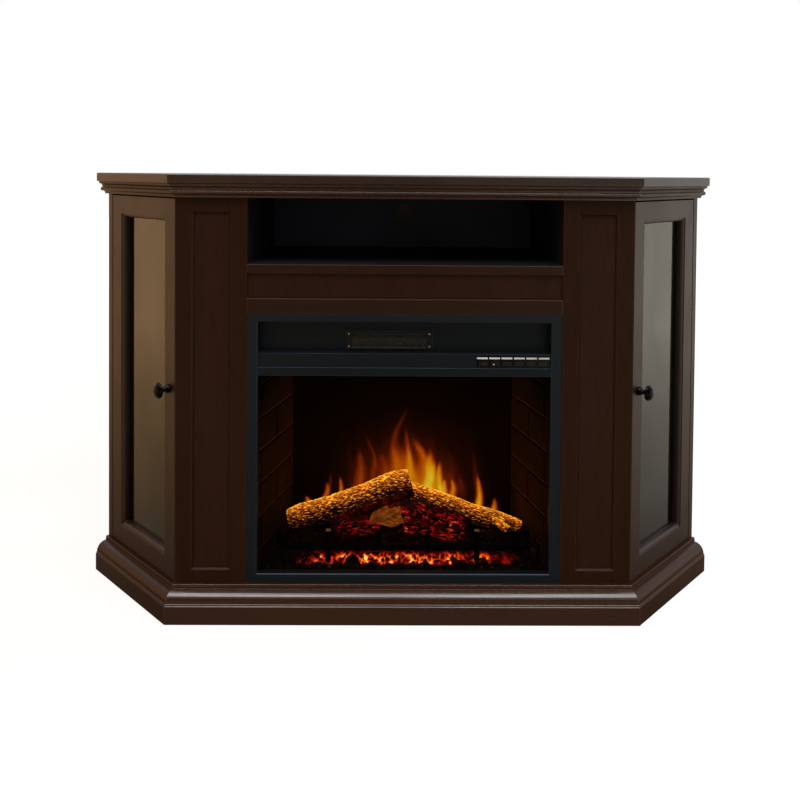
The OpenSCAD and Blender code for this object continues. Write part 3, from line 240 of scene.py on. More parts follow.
def wood(name, ways, mask=None, tone=1.0, rough=0.38, gloss=0.5, edge_wear_and_highlight=0.4, warm=0.0, lipping=None):
    """Dark stained and lacquered wood. With two ways, mask(g) picks the second one where it is 1.

    A lipping is a pale front edge whose front faces glow a little: painted light, as the room would light it."""
    g = Graph(name)
    parts = [grain(g, w) for w in ways]
    seam = None
    if mask:
        m, seam = mask(g)
        streak, pores, figure = (g.blend(m, a, b) for a, b in zip(*parts))
    else:
        streak, pores, figure = parts[0]
    shade = lambda r, gr, b: lin(r * tone, gr * tone * (1 - 0.1 * warm), b * tone * (1 - 0.5 * warm))
    base = g.ramp(streak, [(0.25, shade(36, 19, 9)), (0.5, shade(40, 22, 11)), (0.75, shade(45, 26, 13))])
    slow = g.ramp(figure, [(0.3, shade(37, 19, 10)), (0.7, shade(46, 26, 13))])
    colour = g.mix(0.5, base, slow)
    cloud = g.noise(g.scaled((5, 5, 3)), 1, 3, 0.55)
    colour = g.mix(g.span(cloud, 0.35, 0.7, 0, 0.35), colour, shade(46, 27, 21))
    dark = g.span(pores, 0.34, 0.46, 0.74, 1.0)
    colour = g.mix(1.0, colour, dark, "MULTIPLY")
    # paler along every edge: partly wear, partly a painted highlight
    colour = g.mix(g.mul(g.edges(0.0011), edge_wear_and_highlight), colour, lin(132, 108, 88))
    if lipping:
        face = g.less(g.xyz(g.normal())[1], -0.5)
        edge = g.mix(g.span(streak, 0.25, 0.75), lin(*lipping), times(lipping, 0.8))
        colour = g.mix(face, colour, edge)
    height = g.plus(g.mul(streak, 0.5), g.mul(g.span(pores, 0.34, 0.46), 0.5))
    if seam is not None:
        colour = g.mix(1.0, colour, g.span(seam, 0, 1, 1.0, 0.45), "MULTIPLY")
        height = g.minus(height, g.mul(seam, 1.5))
    worn = g.noise(g.scaled((7, 7, 7)), 1, 3, 0.6)
    r = g.plus(g.span(worn, 0.3, 0.7, rough - 0.05, rough + 0.07), g.span(pores, 0.36, 0.46, 0.06, 0.0))
    normal = g.bump(height, 0.16, 0.0003, g.bevel(0.0012))
    # the lipping's front faces glow: painted light
    light = dict(Emission_Color=colour, Emission_Strength=g.mul(face, 0.2)) if lipping else {}
    return g.surface(g.principled(Base_Color=colour, Roughness=r, Normal=normal,
                                  Specular_IOR_Level=gloss, **light))


def by_side(g):
    """The right canted run where x is positive, the left one where it is negative."""
    return g.more(g.xyz(g.obj())[0], 0.0), None


CANT_FRONT = (0.422, 0.162)      # x and -y of the canted faces' front edge
JOINT_LINE = (0.0006, 0.0001)    # from nothing to full, away from a joint


def between(g, v, lo, hi):
    """1 between two places, and the joint lines at both."""
    near = g.math("MINIMUM", g.mag(g.minus(v, lo)), g.mag(g.minus(v, hi)))
    return g.mul(g.more(v, lo), g.less(v, hi)), g.span(near, *JOINT_LINE)


def rails_between(u0, u1, side):
    """Rails between u0 and u1 along a canted face, stiles outside them, with the joint lines."""
    def mask(g):
        x, y = g.xyz(g.obj())[:2]
        across = g.plus(g.minus(g.mul(x, side), CANT_FRONT[0]), g.plus(y, CANT_FRONT[1]))
        return between(g, g.mul(across, S45), u0, u1)
    return mask


def rails_at(lo, hi):
    """Rails between two places either side of the middle, stiles beside them."""
    return lambda g: between(g, g.mag(g.xyz(g.obj())[0]), lo, hi)


def sheet_black(name, tone, rough=0.46, grit=1.0, gloss=0.3, ledge=None, edge=0.3):
    """Powder-coated steel with a fine orange peel and pale edges, partly wear and partly a painted highlight.
    Behind ledge it is darkened: painted shade.
    """
    g = Graph(name)
    peel = g.noise(g.scaled((900, 900, 900)), 1, 2, 0.5)
    wide = g.noise(g.scaled((6, 6, 6)), 1, 3, 0.5)
    speck = g.cells(g.scaled((1500, 1500, 1500)))
    colour = g.mix(g.span(wide, 0.3, 0.7), times(tone, 0.92), times(tone, 1.06))
    grit_tone = g.ramp(speck, [(0.1, times(tone, 1.4)), (0.4, times(tone, 0.75))])
    colour = g.mix(0.25, colour, grit_tone)
    # paler along every edge: partly wear, partly a painted highlight
    colour = g.mix(g.mul(g.edges(0.0009), edge), colour, times(tone, 5))
    # the faces behind the ledge, inside the window opening, are darkened: painted shade
    if ledge is not None:
        deep = g.more(g.xyz(g.obj())[1], ledge)
        colour = g.mix(deep, colour, times(tone, 0.4))
    r = g.span(peel, 0.2, 0.8, rough - 0.06, rough + 0.1)
    return g.surface(g.principled(Base_Color=colour, Roughness=r, Specular_IOR_Level=gloss,
                                  Specular_Tint=(0.8, 0.9, 1, 1),
                                  Normal=g.bump(peel, 0.18 * grit, 0.0003, g.bevel(0.0006))))


def metal(name, tone, rough, brush=(900, 900, 25), dirt=0.3):
    """Brushed or turned metal with darker stains in its hollows."""
    g = Graph(name)
    line = g.noise(g.scaled(brush), 1, 3, 0.6)
    stain = g.noise(g.scaled((60, 60, 60)), 1, 4, 0.6)
    colour = g.mix(g.span(stain, 0.35, 0.75, 0, dirt), lin(*tone), times(tone, 0.45))
    colour = g.mix(g.span(line, 0.3, 0.7, 0, 0.25), colour, times(tone, 1.25))
    r = g.plus(g.span(line, 0.2, 0.8, rough - 0.05, rough + 0.08), g.span(stain, 0.4, 0.8, 0, 0.12))
    return g.surface(g.principled(Base_Color=colour, Metallic=1.0, Roughness=r,
                                  Normal=g.bump(line, 0.08, 0.0002, g.bevel(0.0005))))


def plastic(name, tone, rough, gloss=0.5):
    """Moulded plastic with a fine spark-eroded grain."""
    g = Graph(name)
    fine = g.noise(g.scaled((1400, 1400, 1400)), 1, 2, 0.5)
    wide = g.noise(g.scaled((18, 18, 18)), 1, 3, 0.5)
    colour = g.mix(g.span(wide, 0.3, 0.7), times(tone, 0.85), times(tone, 1.12))
    r = g.span(fine, 0.2, 0.8, rough - 0.04, rough + 0.06)
    return g.surface(g.principled(Base_Color=colour, Roughness=r, Specular_IOR_Level=gloss,
                                  Normal=g.bump(fine, 0.12, 0.0002, g.bevel(0.0004))))


def galvanised():
    """Zinc-plated sheet with its spangle."""
    g = Graph("bright_sheet")
    spangle = g.cells(g.scaled((90, 90, 90)), out="Color")
    value = g.xyz(spangle)[0]
    line = g.noise(g.scaled((500, 500, 500)), 1, 2, 0.5)
    colour = g.ramp(value, [(0, lin(118, 121, 124)), (1, lin(176, 179, 182))])
    return g.surface(g.principled(Base_Color=colour, Metallic=1.0, Roughness=g.span(value, 0, 1, 0.28, 0.5),
                                  Normal=g.bump(line, 0.1, 0.0002, g.bevel(0.0005))))


def board():
    """Green circuit board with pale solder points. Its light pipes, in front, are dark."""
    g = Graph("board_laminate")
    tracks = g.add("TexBrick", {"Vector": g.scaled((1, 1, 1)), "Scale": 60, "Mortar Size": 0.03,
                                "Color1": lin(24, 84, 52), "Color2": lin(20, 74, 46),
                                "Mortar": lin(46, 120, 78)}).outputs[0]
    speck = g.cells(g.scaled((260, 260, 260)))
    colour = g.mix(g.span(speck, 0.12, 0.1), tracks, lin(170, 160, 120))
    light_pipe = g.less(g.xyz(g.obj())[1], -0.1500)
    colour = g.mix(light_pipe, colour, lin(14, 15, 17))
    fine = g.noise(g.scaled((900, 900, 900)))
    return g.surface(g.principled(Base_Color=colour, Roughness=g.span(fine, 0.2, 0.8, 0.3, 0.45),
                                  Normal=g.bump(fine, 0.1, 0.0002)))


def led_strip():
    """White strip with an amber light every 19 mm or so."""
    g = Graph("led_strip")
    v = g.xyz(g.obj())
    pitch = g.mag(g.minus(g.math("FRACT", g.mul(v[0], 52)), 0.5))
    lit = g.mul(g.less(pitch, 0.14), g.more(v[2], 0.0662))
    wear = g.noise(g.scaled((240, 240, 240)))
    colour = g.mix(g.span(wear, 0.3, 0.7), lin(214, 210, 198), lin(232, 230, 222))
    return g.surface(g.principled(Base_Color=colour, Roughness=0.5, Emission_Color=lin(255, 150, 60),
                                  Emission_Strength=g.mul(lit, 1.5)))


def clear(name, tint, ior=1.52, extra=0.0, smear=0.02):
    """A pane: what is behind it shows through, and its face mirrors what stands before it."""
    g = Graph(name)
    wipe = g.noise(g.scaled((9, 9, 5)), 1, 4, 0.6, 0.8)
    fres = g.add("Fresnel", {"IOR": ior}).outputs[0]
    fac = g.plus(fres, g.span(wipe, 0.35, 0.75, extra, extra + smear), clamp=True)
    see = g.add("BsdfTransparent", {"Color": tint}).outputs[0]
    mirror = g.add("BsdfGlossy", {"Color": WHITE, "Roughness": 0.012}).outputs[0]
    return g.surface(g.add("MixShader", {0: fac, 1: see, 2: mirror}).outputs[0])


COURSE, JOINT, FIRST_BED = 0.0625, 0.0046, 0.1085       # height of a course, its joint, and the lowest bed
UPRIGHT_Y, HALF_BRICK, UPRIGHT_HALF = -0.0538, 0.0715, 0.0023


def brick():
    """Fire brick with raked joints, warmer at the back and low down, where the fire lights it: painted light.
    It is darker towards the top and in its pits, with a painted highlight above each bed joint.
    """
    g = Graph("brick_relief")
    y, z = g.xyz(g.obj())[1:3]
    blot = g.noise(g.scaled((14, 14, 16)), 1, 4, 0.6)
    fine = g.noise(g.scaled((260, 260, 260)), 1, 3, 0.6)
    pit = g.cells(g.scaled((170, 170, 170)))
    colour = g.ramp(blot, [(0.25, lin(44, 28, 6)), (0.5, lin(59, 38, 9)), (0.75, lin(74, 49, 14))])
    colour = g.mix(g.span(fine, 0.35, 0.7, 0, 0.4), colour, lin(26, 14, 5))
    lit = g.mul(g.span(y, -0.14, 0.03, 0.25, 1.0), g.span(z, 0.42, 0.16, 0.35, 1.0))
    colour = g.mix(g.mul(lit, 0.4), colour, lin(84, 50, 20))
    # a joint at each bed, and an upright that steps by half a brick in every other course
    bed_at = g.minus(z, FIRST_BED - 0.0009)
    course = g.math("FRACT", g.math("DIVIDE", bed_at, COURSE))
    level = g.less(course, JOINT / COURSE)
    odd = g.math("MODULO", g.math("FLOOR", g.math("DIVIDE", g.minus(z, FIRST_BED - COURSE), COURSE)), 2.0)
    upright = g.less(g.mag(g.minus(g.minus(y, UPRIGHT_Y), g.mul(odd, -HALF_BRICK))), UPRIGHT_HALF)
    joint = g.most(level, upright)
    # a pale line just above each bed joint, along the bricks' lower edges: painted highlight
    rim = g.mul(g.more(course, JOINT / COURSE), g.less(course, (JOINT + 0.002) / COURSE))
    colour = g.mix(g.mul(rim, 0.9), colour, lin(140, 86, 32))
    colour = g.mix(g.mul(joint, 0.85), colour, lin(9, 5, 2))
    # darker towards the top and in the pits
    darker_high = g.span(z, 0.30, 0.46, 0.0, 0.45)
    colour = g.mix(g.plus(darker_high, g.span(pit, 0.16, 0.06, 0, 0.2)), colour, lin(12, 8, 4))
    height = g.minus(g.plus(g.mul(fine, 0.6), g.span(pit, 0.05, 0.2)), joint)
    return g.surface(g.principled(Base_Color=colour, Roughness=g.span(fine, 0.3, 0.7, 0.75, 0.95),
                                  Specular_IOR_Level=0.12, Normal=g.bump(height, 0.5, 0.0008)))


def bark_mat(name, stops, glow, ember, crack=(0.35, 0.85), glow_stops=None):
    """Cast resin bark, lit from within: its colour follows the modelled ridges, with fine cracks. Upward
    faces are lighter and glow more, downward ones darker: painted light and shade.
    """
    g = Graph(name)
    ridge = g.add("Attribute", attribute_name="ridge").outputs["Fac"]
    heat = g.add("Attribute", attribute_name="cinder").outputs["Fac"]
    up = g.xyz(g.normal())[2]
    fine = g.noise(g.scaled((420, 420, 420)), 1, 4, 0.7)
    tint = g.noise(g.scaled((38, 38, 38)), 1, 3, 0.5)
    f = g.plus(g.span(ridge, 0, 1, 0.1, 0.86), g.span(fine, 0.3, 0.7, -0.16, 0.16), clamp=True)
    # lighter on upward faces, darker on downward ones: painted light and shade
    f = g.plus(f, g.span(up, -0.3, 0.95, -0.66, 0.16), clamp=True)
    colour = g.ramp(f, stops)
    colour = g.mix(1.0, colour, g.span(tint, 0.34, 0.6, 0.62, 1.0), "MULTIPLY")
    patchy = g.plus(heat, g.span(tint, 0.3, 0.7, -0.18, 0.12))
    hot = g.mul(patchy, g.span(g.minus(1.0, ridge), *crack), clamp=True)
    light = g.mix(g.span(hot, 0.02, 0.25), colour, g.ramp(hot, glow_stops or GLOW))
    # the glow is strongest on upward faces: painted light
    strength = g.plus(g.mul(g.span(up, -0.35, 0.85), glow), g.mul(hot, ember))
    return g.surface(g.principled(Base_Color=colour, Roughness=g.span(fine, 0.3, 0.7, 0.55, 0.9),
                                  Specular_IOR_Level=0.25, Emission_Color=light, Emission_Strength=strength,
                                  Normal=g.bump(g.plus(fine, ridge), 0.6, 0.0009)))


def flame_mat():
    """Light of the flames on the dark screen, from dull red to yellow by their heat."""
    g = Graph("flame_image")
    heat = g.add("Attribute", attribute_name="blaze").outputs["Fac"]
    soft = g.noise(g.scaled((60, 60, 16)), 1, 3, 0.6, 0.8)
    h = g.mul(heat, g.span(soft, 0.25, 0.75, 0.86, 1.1))
    colour = g.ramp(h, [(0.0, lin(4, 1, 0)), (0.08, lin(15, 3, 0)), (0.16, lin(35, 8, 0)),
                        (0.26, lin(72, 19, 1)),
                        (0.38, lin(138, 43, 2)), (0.52, lin(202, 86, 4)), (0.70, lin(242, 150, 6)),
                        (0.86, lin(253, 206, 26)), (1.0, lin(255, 238, 96))])
    fine = g.noise(g.scaled((700, 700, 700)))
    body = g.principled(Base_Color=lin(3, 2, 2), Roughness=g.span(fine, 0.3, 0.7, 0.7, 0.9),
                        Specular_IOR_Level=0.0)
    light = g.add("Emission", {"Color": colour, "Strength": 1.6}).outputs[0]
    return g.surface(g.add("AddShader", {0: body, 1: light}).outputs[0])


def niche_board(name, tone):
    """Laminate that is black towards the niche and brown on its other faces."""
    g = Graph(name)
    fine = g.noise(g.scaled((700, 700, 700)), 1, 2, 0.5)
    wide = g.noise(g.scaled((3, 3, 3)), 1, 3, 0.5)
    colour = g.mix(g.span(wide, 0.3, 0.7), times(tone, 0.8), times(tone, 1.15))
    nx, ny = g.xyz(g.normal())[:2]
    outward = g.more(g.mul(nx, g.xyz(g.obj())[0]), 0.05)
    behind = g.most(outward, g.more(ny, 0.5))
    colour = g.mix(behind, colour, g.mix(g.span(wide, 0.3, 0.7), lin(34, 25, 20), lin(46, 34, 27)))
    return g.surface(g.principled(Base_Color=colour, Roughness=g.span(fine, 0.2, 0.8, 0.5, 0.62),
                                  Specular_IOR_Level=0.25, Normal=g.bump(fine, 0.1, 0.0002, g.bevel(0.0008))))


def outlet_mesh():
    """Black pressed plate of the warm air outlet, with brown dust on its mesh and bright screws."""
    g = Graph("outlet_mesh")
    lo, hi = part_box("outlet_grille")
    place = g.xyz(g.obj())
    u, v = (g.minus(place[k], (lo[k] + hi[k]) / 2) for k in (0, 2))
    fine = g.noise(g.scaled((800, 800, 800)), 1, 2, 0.5)
    wide = g.noise(g.scaled((30, 30, 30)), 1, 3, 0.5)
    colour = g.mix(g.span(wide, 0.3, 0.7), lin(13, 15, 17), lin(20, 21, 22))
    inside = g.mul(g.less(g.mag(u), 0.069),
                    g.less(g.mag(g.plus(v, 0.005)), 0.0085))
    stripe = lambda w: g.less(g.math("FRACT", g.mul(w, 185)), 0.42)
    weave = g.most(stripe(g.plus(u, v)), stripe(g.minus(u, v)))
    colour = g.mix(g.mul(inside, g.span(weave, 0, 1, 0.1, 1.0)), colour, lin(50, 45, 40))
    # paler along the plate's edges: partly wear, partly a painted highlight
    colour = g.mix(g.mul(g.edges(0.0007, 0.85), 0.7), colour, lin(120, 116, 110))
    du = g.minus(g.mag(u), 0.0755)
    dv = g.minus(g.mag(v), 0.012)
    off = g.math("SQRT", g.plus(g.mul(du, du), g.mul(dv, dv)))
    colour = g.mix(g.span(off, 0.0020, 0.0015), colour, lin(140, 142, 142))
    return g.surface(g.principled(Base_Color=colour, Roughness=g.span(fine, 0.2, 0.8, 0.38, 0.5),
                                  Metallic=0.2, Specular_IOR_Level=0.4,
                                  Normal=g.bump(fine, 0.1, 0.0002, g.bevel(0.0006))))


GLOW = [(0, lin(40, 1, 2)), (0.35, lin(122, 6, 9)), (0.62, lin(208, 26, 20)), (0.82, lin(250, 84, 28)),
        (1, lin(255, 196, 90))]
M = {}
door_mask = lambda side: rails_between(0.045, 0.2065, side)
M["wood_z"] = wood("stained_wood_upright", ["z"])
M["wood_x"] = wood("stained_wood_level", ["x"])
M["panel"] = wood("stained_wood_panel", ["z"], tone=1.06, gloss=0.14, edge_wear_and_highlight=0.7)
M["header"] = wood("stained_wood_header", ["x"], gloss=0.2, edge_wear_and_highlight=0.7)
M["moulding_x"] = wood("stained_moulding", ["x"], tone=1.25, rough=0.19, gloss=1.0, edge_wear_and_highlight=0.7, warm=0.8)
# lighter than the level wood, for the highlight along its beads: painted light
M["crown"] = wood("stained_crown", ["x"], tone=1.4, rough=0.24, gloss=1.0, edge_wear_and_highlight=0.8)
M["moulding_side"] = wood("stained_side_moulding", ["l", "r"], by_side, tone=1.1, rough=0.3, gloss=0.3,
                          edge_wear_and_highlight=0.5, warm=1.3)
M["slab"] = wood("stained_top", ["x"], tone=1.05, rough=0.28, gloss=0.8)
M["door_l"] = wood("stained_wood_left_door", ["z", "l"], door_mask(-1))
M["door_r"] = wood("stained_wood_right_door", ["z", "r"], door_mask(1))
M["pilaster"] = wood("stained_wood_pilaster", ["z", "x"], rails_at(0.324, 0.389), gloss=0.12, warm=0.4)
M["carcass"] = wood("carcass_board", ["z"], tone=1.25, rough=0.5, gloss=0.3)
M["carcass_x"] = wood("carcass_board_level", ["x"], tone=1.25, rough=0.5, gloss=0.3)
# lighter than the carcass board, so the shelves show in the dim cupboards: painted light
M["shelf"] = wood("shelf_board", ["x"], tone=1.6, rough=0.5, gloss=0.3, lipping=(150, 130, 106))
M["dark"] = niche_board("dark_board", (20, 24, 32))
M["dark_back"] = niche_board("dark_back_board", (54, 61, 76))
M["black_sheet"] = sheet_black("black_sheet", (14, 20, 25), edge=0.9)
M["trim_sheet"] = sheet_black("trim_sheet", (15, 22, 29), 0.42, ledge=-0.16, gloss=0.4)
M["outlet_mesh"] = outlet_mesh()
M["inner_sheet"] = sheet_black("inner_sheet", (20, 21, 22), 0.6)
M["grate_iron"] = sheet_black("grate_iron", (8, 8, 9), 0.6, 2.5, gloss=0.2, edge=0.15)
M["hinge_steel"] = metal("hinge_steel", (168, 168, 166), 0.26)
M["knob_metal"] = metal("knob_metal", (32, 30, 29), 0.15, (400, 400, 400), 0.5)
M["black_plastic"] = plastic("black_plastic", (24, 25, 26), 0.5)
M["button_plastic"] = plastic("button_plastic", (11, 12, 14), 0.3)
M["panel_plastic"] = plastic("panel_plastic", (4, 5, 7), 0.16, 0.35)
M["door_glass"] = clear("door_glass", (0.86, 0.87, 0.86, 1), 1.52, 0.06, 0.03)
M["window_glass"] = clear("window_glass", (0.62, 0.62, 0.62, 1), 1.08, 0.0, 0.002)
M["bright_sheet"] = galvanised()
M["board"] = board()
M["led"] = led_strip()
M["brick"] = brick()
M["flame_sheet"] = plastic("flame_screen", (7, 5, 5), 0.8, 0.1)
M["label_print"] = plastic("label_print", (206, 212, 216), 0.5)
BARK = [(0.0, lin(8, 3, 1)), (0.25, lin(42, 17, 3)), (0.45, lin(108, 48, 6)), (0.65, lin(176, 90, 12)),
        (0.85, lin(220, 140, 26)), (1.0, lin(246, 190, 66))]
CHAR = [(0.0, lin(3, 1, 1)), (0.4, lin(12, 5, 4)), (0.7, lin(32, 14, 9)), (1.0, lin(74, 44, 28))]
COAL = [(0.0, lin(4, 2, 1)), (0.5, lin(22, 10, 4)), (0.8, lin(62, 35, 14)), (1.0, lin(124, 80, 38))]
EMBER_GLOW = [(0, lin(60, 2, 2)), (0.3, lin(168, 16, 8)), (0.6, lin(240, 66, 14)), (0.84, lin(255, 150, 32)),
              (1, lin(255, 212, 100))]
M["bark"] = bark_mat("log_resin", BARK, 4.2, 1.8)
M["char"] = bark_mat("charred_resin", CHAR, 0.1, 2.4, (0.36, 0.86))
M["ember"] = bark_mat("ember_resin", COAL, 0.3, 3.0, (0.45, 0.9), EMBER_GLOW)

COAT = {
    "slab": "top_panel", "wood_x": "sub_top", "crown": "crown_front", "moulding_x": "plinth_front",
    "moulding_side": "crown_sides plinth_sides", "header": "header_frame", "panel": "inset_panels",
    "pilaster": "left_pilaster right_pilaster", "wood_z": "left_side_panel right_side_panel",
    "door_l": "left_door_frame", "door_r": "right_door_frame",
    "dark": "media_shelf dividers", "dark_back": "centre_back_panel",
    "carcass_x": "base_panel base_rails back_stretchers", "carcass": "side_back_panels",
    "shelf": "side_shelves", "black_plastic": "floor_glides door_catches",
    "hinge_steel": "shelf_pins hinge_arms left_hinge_cups right_hinge_cups",
    "door_glass": "left_door_glass right_door_glass", "knob_metal": "left_knob right_knob",
    "trim_sheet": "insert_trim", "black_sheet": "control_bar vent_panel insert_back_cover",
    "outlet_mesh": "outlet_grille", "inner_sheet": "insert_case", "panel_plastic": "control_panel",
    "window_glass": "window_glass", "brick": "brick_panels", "flame_sheet": "flame_screen",
    "grate_iron": "grate", "board": "circuit_board", "led": "led_strips",
    "bright_sheet": "flame_spinner blower_wheel blower_housing heating_element motors_and_brackets",
    "button_plastic": "button_1 button_2 button_3 button_4 button_5 button_6",
}
for key, names in COAT.items():
    for name in names.split():
        o = nodes[name]
        if not o.material_slots:
            o.data.materials.append(M[key])
        for slot in o.material_slots:
            slot.material = M[key]


# ---------------------------------------------------------------- mesh helpers
def link(me, name, mat, body="cabinet", smooth=True):
    me.materials.append(mat)
    if smooth:
        me.polygons.foreach_set("use_smooth", [True] * len(me.polygons))
    me.update()
    ob = bpy.data.objects.new(name, me)
    scene.collection.objects.link(ob)
    if body:
        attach(ob, body)
    return ob


def mesh(name, verts, faces):
    me = bpy.data.meshes.new(name)
    me.from_pydata([tuple(v) for v in verts], [], faces)
    me.validate()
    return me


def attr(me, name, values):
    a = me.attributes.new(name, "FLOAT", "POINT")
    a.data.foreach_set("value", np.asarray(values, np.float32))


# ---------------------------------------------------------------- the fire
FIRE_Y, GRATE_TOP, SCREEN_Y = -141.5, 111.5, 29.5


def at(p):
    return Vector((p[0], FIRE_Y + p[1], GRATE_TOP + p[2]))


def spline(path, step):
    """Stations every step mm along a smooth run through the given ones: place and radius."""
    pts = [at(p) for p in path]
    rad = [p[3] for p in path]
    out = []
    for i in range(len(pts) - 1):
        stations = [max(0, i - 1), i, i + 1, min(len(pts) - 1, i + 2)]
        n = max(2, int((pts[i + 1] - pts[i]).length / step))
        for k in range(n):
            t = k / n
            f = lambda a, b, c, d: 0.5 * (2 * b + (c - a) * t + (2 * a - 5 * b + 4 * c - d) * t * t
                                          + (3 * b - a - 3 * c + d) * t ** 3)
            out.append((f(*(pts[q] for q in stations)), f(*(rad[q] for q in stations))))
    out.append((pts[-1], rad[-1]))
    return out


def bark(along, angle, radius, seed, size=1.0):
    """Height of the bark, 0 in a crack to 1 on a plate: long plates with cross breaks."""
    along, radius = along / size, radius / size
    c, s = math.cos(angle) * radius, math.sin(angle) * radius
    p = Vector((along * 0.085 + seed * 7.3, c * 0.24, s * 0.24))
    w = noise.noise_vector(p * 0.9) * 0.9
    cell = noise.voronoi(p + w)[0]
    crack = min(1.0, (cell[1] - cell[0]) * 2.6)
    q = Vector((along * 0.16 + seed, c * 0.4, s * 0.4))
    fiber = noise.fractal(Vector((q.x * 0.9, q.y * 2.0, q.z * 2.0)), 0.9, 2.1, 4)
    return max(0.0, min(1.0, crack * 0.72 + 0.22 + fiber * 0.28))


def log_piece(name, path, seed, mat, depth, around, step,
              heat=None, cut=(False, False), lumpy=0.08, size=1.0):
    """A log along a path, its bark modelled, with broken ends or sawn ones where cut says so."""
    runs = spline(path, step)
    d = (runs[-1][0] - runs[0][0]).normalized()
    side = d.cross(Vector((0, 0, 1))).normalized()
    up = side.cross(d)
    verts, ridge, hot, faces = [], [], [], []
    along = 0.0
    for k, (c, r) in enumerate(runs):
        if k:
            along += (c - runs[k - 1][0]).length
        for i in range(around):
            a = 2 * math.pi * i / around
            where = Vector((math.cos(a) * 1.2, math.sin(a) * 1.2, along * 0.018 + seed * 5))
            lump = 1 + lumpy * noise.noise(where)
            h = bark(along, a, r, seed, size)
            rr = r * lump + (h - 0.75) * depth
            p = c + side * rr * math.cos(a) + up * rr * math.sin(a)
            verts.append(p)
            ridge.append(h)
            hot.append(heat(p, math.sin(a)) if heat else 0.0)
    m = len(runs)
    for k in range(m - 1):
        for i in range(around):
            j = (i + 1) % around
            faces.append((k * around + i, k * around + j, (k + 1) * around + j, (k + 1) * around + i))
    for end, k in ((0, 0), (1, m - 1)):
        c, r = runs[k]
        out = (runs[-1][0] - runs[-2][0] if end else runs[0][0] - runs[1][0]).normalized()
        base = k * around
        prev = [base + i for i in range(around)]
        for ring in (0.82, 0.6, 0.38, 0.18):
            cur = []
            for i in range(around):
                q = c + (verts[base + i] - c) * ring
                n = noise.noise(Vector((ring * 9 + seed, i * 0.35, k)))
                bulge = 0.6 * n if cut[end] else (1 - ring) * r * 0.45 + 1.2 * n
                cur.append(len(verts))
                verts.append(q + out * bulge)
                ridge.append(0.86 + 0.14 * math.sin(ring * 60) if cut[end] else 0.35 + 0.4 * n)
                hot.append(hot[base + i] * 0.6)
            for i in range(around):
                j = (i + 1) % around
                f = (prev[i], prev[j], cur[j], cur[i])
                faces.append(f if end else f[::-1])
            prev = cur
        verts.append(c + out * (0.3 if cut[end] else r * 0.4))
        ridge.append(0.8)
        hot.append(0.0)
        tip = len(verts) - 1
        for i in range(around):
            j = (i + 1) % around
            f = (prev[i], prev[j], tip)
            faces.append(f if end else f[::-1])
    low = GRATE_TOP + 0.4
    verts = [Vector((v.x, v.y, max(v.z, low))) * MM for v in verts]
    me = mesh(name, verts, [f[::-1] for f in faces])
    attr(me, "ridge", ridge)
    attr(me, "cinder", hot)
    return link(me, name, mat)


# logs: x, then y and z from the grate's front and top, then the radius, in mm
LEFT = [[-224, 78, 24, 20], [-205, 80, 28, 24], [-160, 84, 39, 25], [-110, 88, 53, 26], [-60, 92, 70, 26],
        [-20, 96, 83, 28], [6, 98, 90, 27], [17, 99, 92, 25]]
RIGHT = [[-4, 128, 62, 17], [14, 127, 60, 21], [60, 122, 45, 24], [100, 116, 34, 23], [140, 110, 22, 22],
         [185, 106, 14, 19], [222, 102, 6, 14], [238, 100, 3, 11]]
STUB = [[182, 96, 15, 12], [202, 78, 10, 10], [210, 70, 8, 9]]
CHARRED = [[[-140, 56, 18, 13], [-118, 58, 20, 17], [-78, 62, 22, 18], [-48, 65, 22, 16]],
           [[-30, 60, 46, 19], [-8, 64, 47, 21], [30, 72, 43, 22], [66, 78, 32, 20], [100, 82, 24, 17],
            [132, 86, 15, 13]],
           [[4, 40, 30, 12], [24, 42, 27, 14], [56, 44, 20, 14], [92, 48, 12, 13], [118, 50, 9, 10]]]


def inner(p, x0, x1, ramp):
    """0 outside two places along x, 1 well between them."""
    return max(0.0, min(1.0, min(p.x - x0, x1 - p.x) / ramp))


def under_heat(x0, x1, strength):
    """Heat on a log's underside between two places."""
    return lambda p, up: strength * inner(p, x0, x1, 30) * max(0.0, min(1.0, (0.1 - up) * 1.2))


def all_heat(x0, x1):
    """Patchy heat all round a log between two places, a little less on top."""
    return lambda p, up: (inner(p, x0, x1, 25) * (0.45 + 0.55 * (noise.noise(p * 0.045) * 0.5 + 0.5))
                          * (1.0 if up < 0.5 else 0.9))


left_log = log_piece("left_log_bark", LEFT, 1, M["bark"], 2.8, 150, 1.1,
                     under_heat(-150, 20, 0.8), (False, True))
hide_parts("left_log")
right_log = log_piece("right_log_bark", RIGHT, 2, M["bark"], 2.8, 140, 1.1,
                      under_heat(-20, 120, 0.7), (True, False))
stub = log_piece("right_log_branch", STUB, 5, M["bark"], 2.2, 48, 1.6)
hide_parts("right_log")
for k, (path, seed) in enumerate(zip(CHARRED, (3, 4, 6))):
    piece = log_piece("charred_log_%d" % (k + 1), path, seed, M["char"], 3.6, 100, 1.2,
                      all_heat(-150, 140), lumpy=0.16, size=1.8)
    if k == 0:
        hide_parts("charred_logs")


